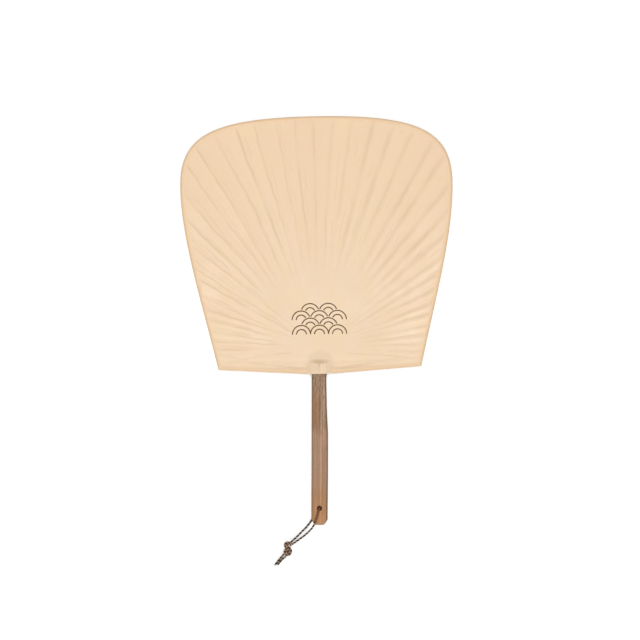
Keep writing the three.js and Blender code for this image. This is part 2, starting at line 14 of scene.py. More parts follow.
import bmesh
import bpy
import numpy as np
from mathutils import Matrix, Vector


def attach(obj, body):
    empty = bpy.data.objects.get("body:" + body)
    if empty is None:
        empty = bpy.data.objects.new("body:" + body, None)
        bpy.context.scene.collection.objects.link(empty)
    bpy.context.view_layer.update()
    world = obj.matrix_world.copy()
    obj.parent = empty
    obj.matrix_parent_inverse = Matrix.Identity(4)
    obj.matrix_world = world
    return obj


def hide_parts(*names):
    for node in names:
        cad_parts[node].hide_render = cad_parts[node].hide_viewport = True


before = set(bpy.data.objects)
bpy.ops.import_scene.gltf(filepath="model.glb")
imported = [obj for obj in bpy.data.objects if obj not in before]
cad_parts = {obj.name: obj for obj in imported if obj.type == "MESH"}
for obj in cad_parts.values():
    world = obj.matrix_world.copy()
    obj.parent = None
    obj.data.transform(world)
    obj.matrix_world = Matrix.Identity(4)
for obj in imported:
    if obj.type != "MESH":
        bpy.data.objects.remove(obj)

LOG = logging.getLogger("hand_fan")
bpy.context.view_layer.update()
MM = 0.001
BOW_POINT = Vector((0.0028747, -0.0377036, 0.0))
HOLE_POINT = BOW_POINT + Vector((0.0, -0.1346, 0.0))
FRONT_WAY = Vector((0, 0, 1))
ROUTE_STEP = 0.0003
SEED = 7
Tone = tuple[float, float, float]
Place = tuple[float, float, float]
Span = tuple[float, float]
Object = bpy.types.Object


class Side(Enum):
    """The two faces of the fan."""

    FRONT = 1
    BACK = -1


class Body(Enum):
    """The bodies of the frame that pieces ride on."""

    FAN = "fan"
    LOOP = "cord_loop"


class Slot(Enum):
    """The material slots of the record; no piece here takes its finish from them."""

    HANDLE = "handle_bamboo"
    PAPER = "paper"
    BINDING = "binding_paper"
    CORD = "cord"
    TIP = "cord_tip"


def srgb(*tone: float) -> tuple[float, ...]:
    """Turn the 8-bit red, green and blue of a display into linear values, with an alpha of 1."""
    parts = [min(value, 255.0) / 255 for value in tone]
    return *(p / 12.92 if p <= 0.04045 else ((p + 0.055) / 1.055) ** 2.4 for p in parts), 1.0


def tinted(tone: Tone, red: float = 0, green: float = 0, blue: float = 0, share: float = 1.0) -> Tone:
    """Return a colour times a share, with a step added to each of its parts."""
    return tuple(part * share + step for part, step in zip(tone, (red, green, blue)))


def smooth_step(low: float, high: float, value: np.ndarray) -> np.ndarray:
    """Ease from 0 where the value is low to 1 where it is high."""
    share = np.clip((value - low) / (high - low), 0.0, 1.0)
    return share * share * (3 - 2 * share)


def at_least(low: float, share: np.ndarray) -> np.ndarray:
    """Turn a share of 0 to 1 into one of low to 1."""
    return low + (1 - low) * share


def catmull_rom(points: Sequence[Vector]) -> list[Vector]:
    """Run one smooth curve through the points of a route.

    Args:
        points: Route points.

    Returns:
        Points on the curve, about a route step apart.
    """
    padded = [points[0] * 2 - points[1], *points, points[-1] * 2 - points[-2]]
    result: list[Vector] = []
    for p0, p1, p2, p3 in zip(padded, padded[1:], padded[2:], padded[3:]):
        steps = max(2, round((p2 - p1).length / ROUTE_STEP))
        for step in range(steps):
            t = step / steps
            result.append(0.5 * (2 * p1 + (p2 - p0) * t + (2 * p0 - 5 * p1 + 4 * p2 - p3) * t * t
                                 + (3 * p1 - p0 - 3 * p2 + p3) * t * t * t))
    result.append(points[-1].copy())
    return result


def path_length(points: Sequence[Vector]) -> float:
    """Return the length of a run of points."""
    return sum((b - a).length for a, b in zip(points, points[1:]))


def new_object(name: str, data: bpy.types.ID) -> Object:
    """Make an object at the origin and link it to the scene.

    Args:
        name: Name of the object.
        data: Its mesh, curve, light or camera.

    Returns:
        The object.
    """
    obj = bpy.data.objects.new(name, data)
    bpy.context.scene.collection.objects.link(obj)
    return obj


def mesh_object(name: str, points: Sequence, faces: Sequence[Sequence[int]]) -> Object:
    """Make a mesh object at the origin.

    Args:
        name: Name of the piece.
        points: Corner places in the frame.
        faces: Corner numbers of each face.

    Returns:
        The new object.
    """
    mesh = bpy.data.meshes.new(name)
    mesh.from_pydata([tuple(p) for p in points], [], [tuple(f) for f in faces])
    mesh.update()
    return new_object(name, mesh)


def work_object(name: str, work: bmesh.types.BMesh) -> Object:
    """Turn a mesh that is being worked on into an object.

    Args:
        name: Name of the piece.
        work: The mesh, which is freed.

    Returns:
        The new object.
    """
    mesh = bpy.data.meshes.new(name)
    work.to_mesh(mesh)
    work.free()
    return new_object(name, mesh)


def curve_object(name: str, points: Sequence[Vector]) -> Object:
    """Make a curve of one open spline through the points.

    Args:
        name: Name of the piece.
        points: Points in the frame.

    Returns:
        The curve object.
    """
    curve = bpy.data.curves.new(name, "CURVE")
    curve.dimensions = "3D"
    spline = curve.splines.new("POLY")
    spline.points.add(len(points) - 1)
    for point, place in zip(spline.points, points):
        point.co = (*place, 1.0)
    return new_object(name, curve)


def shade(obj: Object, sharp_degrees: float) -> None:
    """Shade a piece smooth, apart from the edges that turn more than the given angle."""
    obj.data.shade_smooth()
    obj.data.set_sharp_from_angle(angle=math.radians(sharp_degrees))


def outward(obj: Object, merge: float) -> None:
    """Merge the doubles of a closed mesh and turn its faces outwards.

    Args:
        obj: The piece.
        merge: Corners closer than this become one.
    """
    work = bmesh.new()
    work.from_mesh(obj.data)
    bmesh.ops.remove_doubles(work, verts=work.verts, dist=merge)
    bmesh.ops.recalc_face_normals(work, faces=work.faces)
    work.to_mesh(obj.data)
    work.free()


def evaluated_mesh(obj: Object) -> bpy.types.Mesh:
    """Return what a piece's modifiers make of it, as a plain mesh."""
    graph = bpy.context.evaluated_depsgraph_get()
    return bpy.data.meshes.new_from_object(obj.evaluated_get(graph), depsgraph=graph)


def bake(obj: Object) -> None:
    """Replace a piece's mesh with what its modifiers make of it, and remove them.

    Args:
        obj: The piece.
    """
    done = evaluated_mesh(obj)
    obj.modifiers.clear()
    obj.data = done


def dress(obj: Object, body: Body, node: str | None = None,
          material: bpy.types.Material | None = None) -> Object:
    """Let a finished piece ride, stand for its CAD node and take its finish, and report it.

    Args:
        obj: The piece.
        body: The body that it moves with.
        node: The CAD node that it stands for, if there is one.
        material: Its finish, unless it has it already.

    Returns:
        The piece.
    """
    if material is not None:
        obj.data.materials.append(material)
    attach(obj, body.value)
    if node is not None:
        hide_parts(node)
    LOG.info("%s: %d faces", obj.name, len(obj.data.polygons))
    return obj


class Value:
    """A value in a node tree. Arithmetic on it adds the nodes that work it out."""

    def __init__(self, graph: "Graph", socket: bpy.types.NodeSocket) -> None:
        """Keep an output socket and the tree that it is in."""
        self.graph, self.socket = graph, socket

    def maths(self, operation: str, *others: object) -> "Value":
        """Put this value and others, each a value or a number, through a Math node."""
        return self.graph.out("ShaderNodeMath", dict(enumerate((self, *others))), operation=operation)

    def __add__(self, other: object) -> "Value":
        """Add a value or a number."""
        return self.maths("ADD", other)

    def __sub__(self, other: object) -> "Value":
        """Take away a value or a number."""
        return self.maths("SUBTRACT", other)

    def __mul__(self, other: object) -> "Value":
        """Multiply by a value or a number."""
        return self.maths("MULTIPLY", other)

    def __truediv__(self, other: object) -> "Value":
        """Divide by a value or a number."""
        return self.maths("DIVIDE", other)

    def __abs__(self) -> "Value":
        """Return the size of this value without its sign."""
        return self.maths("ABSOLUTE")

    def most(self, *others: object) -> "Value":
        """Return the largest of this value and others."""
        return reduce(lambda found, other: found.maths("MAXIMUM", other), others, self)

    def ramp(self, low: float, high: float, to_low: float = 0.0, to_high: float = 1.0) -> "Value":
        """Stretch the range from low to high into the one from to_low to to_high, clamped."""
        limits = {"From Min": low, "From Max": high, "To Min": to_low, "To Max": to_high}
        return self.graph.out("ShaderNodeMapRange", {"Value": self, **limits})

    def fall(self, low: float, high: float, to_high: float = 0.0) -> "Value":
        """Fall from 1 at low to the result at high, clamped."""
        return self.ramp(low, high, 1.0, to_high)

    def near(self, target: float, reach: float) -> "Value":
        """Return 1 where the value meets its target, falling to 0 at the reach on both sides."""
        return abs(self - target).fall(0.0, reach)


class Graph:
    """A node tree, built a node at a time."""

    def __init__(self, tree: bpy.types.NodeTree) -> None:
        """Keep the tree."""
        self.tree = tree

    def link(self, source: object, target: bpy.types.NodeSocket) -> None:
        """Feed an input.

        Args:
            source: A value, an output socket, or a plain number, colour or vector.
            target: The input's socket.
        """
        source = source.socket if isinstance(source, Value) else source
        if isinstance(source, bpy.types.NodeSocket):
            self.tree.links.new(source, target)
        else:
            target.default_value = source

    def add(self, kind: str, links: dict[object, object] | None = None, **settings: object) -> bpy.types.Node:
        """Add a node.

        Args:
            kind: Blender's node type.
            links: Input name or number to what feeds it.
            **settings: Properties to set on the node.

        Returns:
            The node.
        """
        node = self.tree.nodes.new(kind)
        for key, value in settings.items():
            setattr(node, key, value)
        for key, value in (links or {}).items():
            self.link(value, node.inputs[key])
        return node

    def out(self, kind: str, links: dict[object, object] | None = None, **settings: object) -> Value:
        """Add a node and return the value of its first output."""
        return Value(self, self.add(kind, links, **settings).outputs[0])

    def parts(self, vector: object) -> list[Value]:
        """Split a vector into its three parts."""
        return [Value(self, part) for part in self.add("ShaderNodeSeparateXYZ", {0: vector}).outputs]

    def rays(self, *kinds: str) -> Value:
        """Tell light paths of the named kinds from others.

        Args:
            *kinds: Names of the kinds, such as Camera.

        Returns:
            1 for those kinds and 0 for others.
        """
        outputs = self.add("ShaderNodeLightPath").outputs
        first, *others = (Value(self, outputs[f"Is {kind} Ray"]) for kind in kinds)
        return first.most(*others)


class Shader(Graph):
    """A material's node tree, with the colour that is painted on it so far."""

    def __init__(self, name: str, tone: Tone) -> None:
        """Start a material.

        Args:
            name: Name of the material.
            tone: Its ground colour, 0 to 255.
        """
        self.material = bpy.data.materials.new(name)
        self.material.use_nodes = True
        super().__init__(self.material.node_tree)
        self.tree.nodes.clear()
        principled = self.add("ShaderNodeBsdfPrincipled")
        self.surface = principled.inputs
        self.add("ShaderNodeOutputMaterial", {"Surface": principled.outputs["BSDF"]})
        self.coordinates = self.add("ShaderNodeTexCoord").outputs["Object"]
        self.colour: object = srgb(*tone)

    def attribute(self, name: str) -> Value:
        """Return the value of one of the mesh's own attributes."""
        return Value(self, self.add("ShaderNodeAttribute", attribute_name=name).outputs["Fac"])

    def from_bow(self) -> tuple[Value, Value]:
        """Return the places across and up from the bow point."""
        x, y, _ = self.parts(self.coordinates)
        return x - BOW_POINT.x, y - BOW_POINT.y

    def texture(self, vector: Value, detail: float, roughness: float = 0.5) -> Value:
        """Add a noise pattern, about 0.3 to 0.7, that repeats once in a unit of the vector."""
        links = {"Vector": vector, "Scale": 1.0, "Detail": detail, "Roughness": roughness}
        return self.out("ShaderNodeTexNoise", links)

    def noise(self, scale: float | Place, turn: float = 0.0, detail: float = 2.0,
              roughness: float = 0.5) -> Value:
        """Add a noise pattern on the object's own coordinates.

        Args:
            scale: Repeats in a metre, alike or along X, Y and Z.
            turn: Turn about Z in degrees, before the scaling.
            detail: Number of finer layers.
            roughness: How strong the finer layers are.

        Returns:
            The pattern's value, about 0.3 to 0.7.
        """
        turned = self.out("ShaderNodeMapping", {"Vector": self.coordinates,
                                                "Rotation": (0, 0, math.radians(turn))})
        scale = scale if isinstance(scale, tuple) else (scale,) * 3
        scaled = self.out("ShaderNodeMapping", {"Vector": turned, "Scale": scale})
        return self.texture(scaled, detail, roughness)

    def mix(self, share: Value, first: object, second: object) -> Value:
        """Mix two colours, with the given share of the second one."""
        node = self.add("ShaderNodeMix", {0: share, 6: first, 7: second}, data_type="RGBA")
        return Value(self, node.outputs[2])

    def paint(self, share: Value, tone: Tone) -> None:
        """Paint a share of a colour, 0 to 255, over what is there."""
        self.colour = self.mix(share, self.colour, srgb(*tone))

    def bump(self, height: Value, distance: float, strength: float) -> None:
        """Raise the surface by a pattern, on top of any bump that is there.

        Args:
            height: The pattern.
            distance: Height in metres of a value of 1.
            strength: Share of the effect.
        """
        links: dict[object, object] = {"Strength": strength, "Distance": distance, "Height": height}
        normal = self.surface["Normal"]
        if normal.is_linked:
            links["Normal"] = normal.links[0].from_socket
        self.link(self.out("ShaderNodeBump", links), normal)

    def finish(self, roughness: float) -> bpy.types.Material:
        """Give the surface its colour and roughness.

        Args:
            roughness: Plain roughness, unless one is linked already.

        Returns:
            The material.
        """
        self.link(self.colour, self.surface["Base Color"])
        if not self.surface["Roughness"].is_linked:
            self.surface["Roughness"].default_value = roughness
        return self.material


@dataclass(frozen=True, kw_only=True)
class PaperFinish:
    """Handmade paper: cloudy, with long pale and dark fibres and a fine grain."""

    name: str
    colour: Tone
    cloud: Tone
    roughness: float = 0.86
    specular: float = 0.25
    fibres: tuple[Span, ...] = ((22.0, 1.05), (-41.0, 0.93), (78.0, 1.05), (-74.0, 0.94))
    fibre_rise: float = 0.00005
    grain_rise: float = 0.00008

    def sheet(self, shader: Shader) -> None:
        """Add the fibres, each run at its own turn and tone, and the grain that every sheet has.

        Args:
            shader: The material's tree.
        """
        for turn, share in self.fibres:
            fibre = shader.noise((1500, 60, 300), turn, detail=1)
            shader.paint(fibre.ramp(0.66, 0.74, 0.0, 0.2), tinted(self.colour, share=share))
        shader.bump(shader.noise(900, detail=4, roughness=0.7), self.grain_rise, 0.35)
        for turn, _ in self.fibres[:2]:
            shader.bump(shader.noise((1500, 90, 300), turn, detail=1), self.fibre_rise, 0.3)
        shader.surface["Specular IOR Level"].default_value = self.specular


@dataclass(frozen=True, kw_only=True)
class StripFinish(PaperFinish):
    """The paper of a folded strip, with painted shade along its rolled fold and a little browner at the foot
    of the face.
    """

    edge: Tone
    fold: Tone
    foot: Tone

    def build(self) -> bpy.types.Material:
        """Paint the strip.

        Returns:
            The material.
        """
        shader = Shader(self.name, self.colour)
        shader.paint(shader.noise(60, detail=3).ramp(0.36, 0.64), self.cloud)
        self.sheet(shader)
        low = shader.parts(shader.coordinates)[1].fall(BOW_POINT.y - 0.004, BOW_POINT.y + 0.002)
        shader.paint(low, self.foot)
        # Painted shade: the edge colour over the rolled fold and the inner part of the legs, weaker at the
        # foot, and a darker colour at the fold itself.
        painted_shade = shader.attribute("leg") + shader.noise(200) * 0.12
        shader.paint(painted_shade.fall(0.55, 1.0) * low.fall(0.0, 1.0, 0.45), self.edge)
        shader.paint(painted_shade.ramp(0.3, 0.55, 0.6, 0.0), self.fold)
        return shader.finish(self.roughness)


@dataclass(frozen=True, kw_only=True)
class FaceFinish(PaperFinish):
    """The paper over the ribs: yellower towards the crown, with painted shade in the creases beside the ribs
    and by the bow, and painted shade and highlights at the neck.
    """

    relief: "Relief"
    crown: Tone
    crease_shade: Tone
    neck_shade: Tone
    low_shade_and_strip_tone: Tone

    def along_rib(self, shader: Shader, rib: Value, radius: Value, beat: float, seed: float) -> Value:
        """Return a pattern with its own run on each rib, and so many changes in a metre along it."""
        spot = shader.out("ShaderNodeCombineXYZ", {0: rib * 3.7, 1: radius * beat, 2: seed})
        return shader.texture(spot, 1.0)

    def rib_crease_shade(self, shader: Shader, across: Value, up: Value) -> tuple[Value, Value]:
        """Paint shade in a thin broken crease on one side of each rib, and a soft band of painted shade
        beside it.

        Args:
            shader: The material's tree.
            across: Distance from the middle line.
            up: Distance above the hub.

        Returns:
            The shares of the thin crease shade and of the soft shade band.
        """
        pitch = self.relief.rib_pitch
        radius = (across * across + up * up).maths("SQRT")
        angle = across.maths("ARCTAN2", up)
        rib = (angle / pitch).maths("ROUND")
        wander = (rib * self.relief.wander_beat).maths("SINE") * self.relief.wander
        offset = (angle - (rib * pitch + wander)) * radius
        along = partial(self.along_rib, shader, rib, radius)
        wobble = along(90.0, 2.0) - 0.5
        drift = along(9.0, 4.0) - 0.5
        middle = across.ramp(-0.03, 0.03, 0.0002, -0.0024)
        scatter = across.ramp(-0.03, 0.03, 0.0085, 0.0040)
        shifted = offset + (wobble * 0.0026 + drift * scatter) - middle
        turned = abs(angle)
        inside = radius.ramp(0.022, 0.034) * turned.ramp(0.65, 1.0) * turned.fall(1.50, 1.62) * 0.75
        shown = (shader.attribute("shown") * radius.ramp(0.055, 0.12, 0.75, 1.0)).most(inside)
        broken = along(30.0, 9.0).ramp(0.40, 0.60)
        first = shifted.near(0.0, 0.0008) * broken * across.fall(-0.03, 0.03, 0.25) * shown
        between = offset - radius * (0.34 * pitch) + wobble * 0.0024
        sparse = along(34.0, 13.0).ramp(0.5, 0.62)
        thin = first.most(between.near(0.0, 0.0007) * sparse * shown * 0.6)
        steady = along(22.0, 5.0).ramp(0.35, 0.62, 0.25, 1.0)
        far_left = angle.ramp(-1.25, -0.6, 0.55, 1.0)
        off_middle = abs(across).ramp(0.005, 0.05, 0.65, 1.0)
        band = abs(shifted + 0.0003) / across.ramp(-0.03, 0.04, 0.0020, 0.0034)
        return thin, band.fall(0.0, 1.0) * steady * far_left * off_middle * shown

    def bow_shadow_lines(self, shader: Shader, across: Value, up: Value) -> Value:
        """Paint the soft shadow line just under the bow and the shade of the broken crease above it.

        Args:
            shader: The material's tree.
            across: Distance from the middle line.
            up: Distance above the hub.

        Returns:
            The share of the painted shade.
        """
        side, hub_rise = abs(across), self.relief.outline.hub_rise
        under = up + (hub_rise + 0.0064) - across * across * 1.75
        reach = side.ramp(0.008, 0.014) * side.fall(0.034, 0.052, 0.25)
        # Painted shadow: the line under the bow is the bow's shadow, its strength broken up by noise.
        painted_shade = shader.noise((60, 200, 1)).ramp(0.35, 0.6, 0.5, 1.0)
        line = under.near(0.0, 0.0017) * reach * painted_shade
        rise = across.ramp(-0.002, 0.002, 0.0096, 0.0074)
        curve = across.ramp(-0.002, 0.002, 1.28, 0.8)
        above = up + hub_rise - rise + across * across * curve
        reach = side.ramp(0.017, 0.026) * side.fall(0.075, 0.09)
        broken = shader.noise((90, 500, 1), 6.0).ramp(0.4, 0.58, 0.1, 0.6)
        return line.most(above.near(0.0, 0.0011) * reach * broken)

    def neck_shade_and_highlights(self, shader: Shader) -> tuple[Value, Value]:
        """Paint the shade over the handle's upper end, where the paper drops off it, a faint darker band
        round the neck, shade lines down the creases over the handle's middle and right edge, and highlights
        beside them.

        Args:
            shader: The material's tree.

        Returns:
            The shares of the painted shade and of the painted highlights.
        """
        across, up = shader.from_bow()
        wide, tall = across / 0.0118, (up + 0.0004) / 0.0034
        away = (wide * wide + tall * tall).maths("SQRT")
        patchy = shader.noise((700, 900, 700)).ramp(0.3, 0.65, 0.7, 1.0)
        neck_shade = away.fall(0.2, 1.0) * up.ramp(-0.0026, -0.0016) * patchy
        start = up.ramp(-0.0115, -0.0095)
        below = start * up.fall(-0.002, 0.0015)
        middle = across.near(-0.0006, 0.0012) * below * up.ramp(-0.006, -0.003, 0.5, 1.0) * 0.9
        side = across.near(0.0066, 0.0009) * below * up.fall(-0.004, -0.001) * 0.5
        dark = (abs(across).ramp(0.010, 0.018, 0.24, 0.0) * below).most(neck_shade, middle, side)
        pale = across.near(0.0048, 0.0010).most(across.near(0.0021, 0.0012))
        return dark, pale * (start * up.fall(-0.004, -0.002)) * 0.6

    def build(self) -> bpy.types.Material:
        """Paint the face.

        Returns:
            The material.
        """
        shader = Shader(self.name, self.colour)
        outline = self.relief.outline
        hub = {"Vector": shader.coordinates, "Location": BOW_POINT + Vector((0, outline.hub_rise, 0)),
               "Rotation": (0, 0, outline.lean)}
        across, up, _ = shader.parts(shader.out("ShaderNodeMapping", hub, vector_type="TEXTURE"))
        side = abs(across)
        shader.paint(up.ramp(0.055, 0.175), self.crown)
        shader.paint(side.ramp(0.04, 0.12) * up.fall(0.05, 0.13), tinted(self.colour, 9, 9, 9))
        shader.paint(shader.noise(26, detail=3).ramp(0.36, 0.66, 0.0, 0.7), self.cloud)
        yellow = shader.noise((55, 38, 40), 12.0).ramp(0.46, 0.6, 0.0, 0.55)
        shader.paint(yellow, tinted(self.colour, -2, -3, -12))
        # Painted shade towards the lower edge, stronger at the sides.
        shader.paint(up.fall(-0.012, 0.012) * side.ramp(0.012, 0.05, 0.15, 0.42), self.low_shade_and_strip_tone)
        panel = shader.attribute("panel").ramp(0.1, 0.9, 0.0, 0.5)
        shader.paint(panel, tinted(self.colour, -4, -9, -12))
        self.sheet(shader)
        thin, soft = self.rib_crease_shade(shader, across, up)
        # Painted shade: the soft bands beside the ribs, the thin creases and the lines by the bow, all in the
        # crease shade colour.
        for crease_shade in (soft * 0.5, thin * 0.75, self.bow_shadow_lines(shader, across, up) * 0.9):
            shader.paint(crease_shade, self.crease_shade)
        # The binding's tone along the lower edge between the handle and the foot strips.
        outer = side - outline.neck_width / 2
        rise = up + (outline.hub_rise + outline.throat_drop) - outer.most(0.0) * outline.foot_slope
        shader.paint(rise.fall(0.0034, 0.0040) * outer.ramp(0.0004, 0.0016) * outer.fall(0.008, 0.012),
                     self.low_shade_and_strip_tone)
        # Painted shade and painted highlights where the paper lies over the handle's upper end.
        dark, pale = self.neck_shade_and_highlights(shader)
        shader.paint(dark, self.neck_shade)
        shader.paint(pale, tinted(self.colour, share=1.03))
        return shader.finish(self.roughness)


@dataclass(frozen=True, kw_only=True)
class BambooFinish:
    """Bamboo with its fibres along Y: a middle tone with darker, redder and paler streaks."""

    name: str
    middle: Tone
    light: Tone
    red: Tone
    dark: Tone
    roughness: float = 0.6

    def grain(self, shader: Shader) -> None:
        """Paint the long fibres over the red ground, and raise them.

        Args:
            shader: The material's tree.
        """
        broad = shader.noise((230, 8, 90))
        pale = shader.noise((480, 6, 260), detail=1)
        streak = shader.noise((560, 9, 400), roughness=0.6)
        dash = shader.noise((1300, 150, 2000))
        shader.paint(broad.ramp(0.42, 0.56), self.middle)
        shader.paint(pale.ramp(0.48, 0.55, 0.0, 0.95), self.light)
        shader.paint(streak.ramp(0.5, 0.57, 0.0, 0.85), self.dark)
        shader.paint(dash.ramp(0.52, 0.62, 0.0, 0.6), self.dark)
        shader.bump(streak, 0.00010, 0.4)
        shader.bump(dash, 0.00006, 0.4)
        gloss = broad.ramp(0.3, 0.7, self.roughness - 0.06, self.roughness + 0.1)
        shader.link(gloss, shader.surface["Roughness"])

    def build(self) -> bpy.types.Material:
        """Paint the bamboo.

        Returns:
            The material.
        """
        shader = Shader(self.name, self.red)
        self.grain(shader)
        return shader.finish(self.roughness)


@dataclass(frozen=True, kw_only=True)
class SmokedHandleFinish(BambooFinish):
    """The handle's bamboo: orange-brown on the left below the neck, then paler, with painted shade at its
    edges and in its hole.
    """

    patch: Tone
    pink: Tone
    foot: Tone
    painted_shade: Tone

    def build(self) -> bpy.types.Material:
        """Paint the handle, its marks in order from the neck down and the painted shade on its edges and in
        its hole last.

        Returns:
            The material.
        """
        shader = Shader(self.name, self.red)
        across, up = shader.from_bow()
        up = up + (shader.noise((900, 4, 1), detail=1) - 0.5) * 0.016
        self.grain(shader)
        fleck = shader.noise((900, 260, 900)).ramp(0.5, 0.6) * up.ramp(-0.05, -0.02)
        left = across.fall(-0.0015, 0.0005)
        stretch = up.ramp(-0.064, -0.0605) * up.fall(-0.034, -0.024) * left
        paler = up.fall(-0.067, -0.058) * up.ramp(-0.138, -0.112)
        lower = up.near(-0.0805, 0.0006) * across.ramp(-0.002, 0.002, 0.2, 0.9)
        steps = (up.near(-0.0625, 0.0007) * left).most(lower)
        # Painted shade on the eased edges and in the hole, stronger on the right edge.
        side = shader.attribute("side")
        edge = abs(side).ramp(0.77, 0.92, 0.0, 0.9) * side.ramp(-0.1, 0.1, 0.55, 1.0)
        for share, tone in (
            (up.ramp(-0.03, -0.012, 0.06, 0.46), self.dark),
            (fleck * 0.5, self.light),
            (stretch * 0.55, self.patch),
            (paler * 0.45, self.pink),
            (steps * 0.35, self.dark),
            (up.ramp(-0.128, -0.1, 0.3, 0.0), self.patch),
            (up.ramp(-0.158, -0.105, 0.55, 0.0), self.foot),
            (shader.attribute("wear").ramp(0.0, 0.8).most(edge), self.painted_shade),
        ):
            shader.paint(share, tone)
        shader.surface["Coat Weight"].default_value = 0.06
        shader.surface["Coat Roughness"].default_value = 0.4
        return shader.finish(self.roughness)


@dataclass(frozen=True, kw_only=True)
class TwineFinish:
    """Twisted twine with dark plies and a pale one, with a painted brown reflection of the bamboo near the
    hole and paler in the knot.
    """

    name: str
    dark: Tone
    light: Tone
    bamboo_reflection: Tone
    knotted: Tone
    knot_drop: float = 0.1725
    knot_reach: float = 0.0075

    def build(self) -> bpy.types.Material:
        """Paint the twine.

        Returns:
            The material.
        """
        shader = Shader(self.name, self.dark)
        fibre = shader.noise(2600, detail=3, roughness=0.7)
        plies = [shader.mix(fibre.ramp(0.35, 0.65), srgb(*tinted(tone, share=share)), srgb(*tone))
                 for tone, share in ((self.dark, 0.75), (self.light, 0.8))]
        shader.colour = shader.mix(shader.attribute("ply"), *plies)
        height = shader.parts(shader.coordinates)[1]
        # Painted reflection: the twine turns brown where it lies over the bamboo handle and in its hole.
        shader.paint(height.ramp(HOLE_POINT.y - 0.0150, HOLE_POINT.y - 0.0115, 0.0, 0.85), self.bamboo_reflection)
        knot = height.near(BOW_POINT.y - self.knot_drop, self.knot_reach)
        shader.paint(knot.ramp(0.0, 0.5, 0.0, 0.18), self.knotted)
        shader.bump(fibre, 0.00012, 0.7)
        shader.surface["Specular IOR Level"].default_value = 0.2
        return shader.finish(0.88)


@dataclass(frozen=True, kw_only=True)
class PlainFibreFinish:
    """Thread or a stiffened cord end: one colour, broken up by its fibres."""

    name: str
    colour: Tone
    shade: Tone
    roughness: float

    def build(self) -> bpy.types.Material:
        """Paint the fibres.

        Returns:
            The material.
        """
        shader = Shader(self.name, self.shade)
        fibre = shader.noise(2400, detail=3)
        shader.paint(fibre.ramp(0.35, 0.65), self.colour)
        shader.bump(fibre, 0.0001, 0.6)
        return shader.finish(self.roughness)


@dataclass(frozen=True, kw_only=True)
class InkFinish:
    """Thin printed ink that lets the paper's fibres show."""

    name: str
    colour: Tone
    faded: Tone

    def build(self) -> bpy.types.Material:
        """Paint the ink.

        Returns:
            The material.
        """
        shader = Shader(self.name, self.colour)
        shader.paint(shader.noise(1300, detail=3, roughness=0.7).ramp(0.45, 0.7, 0.0, 0.8), self.faded)
        shader.bump(shader.noise(900, detail=4, roughness=0.7), 0.00008, 0.5)
        return shader.finish(0.8)


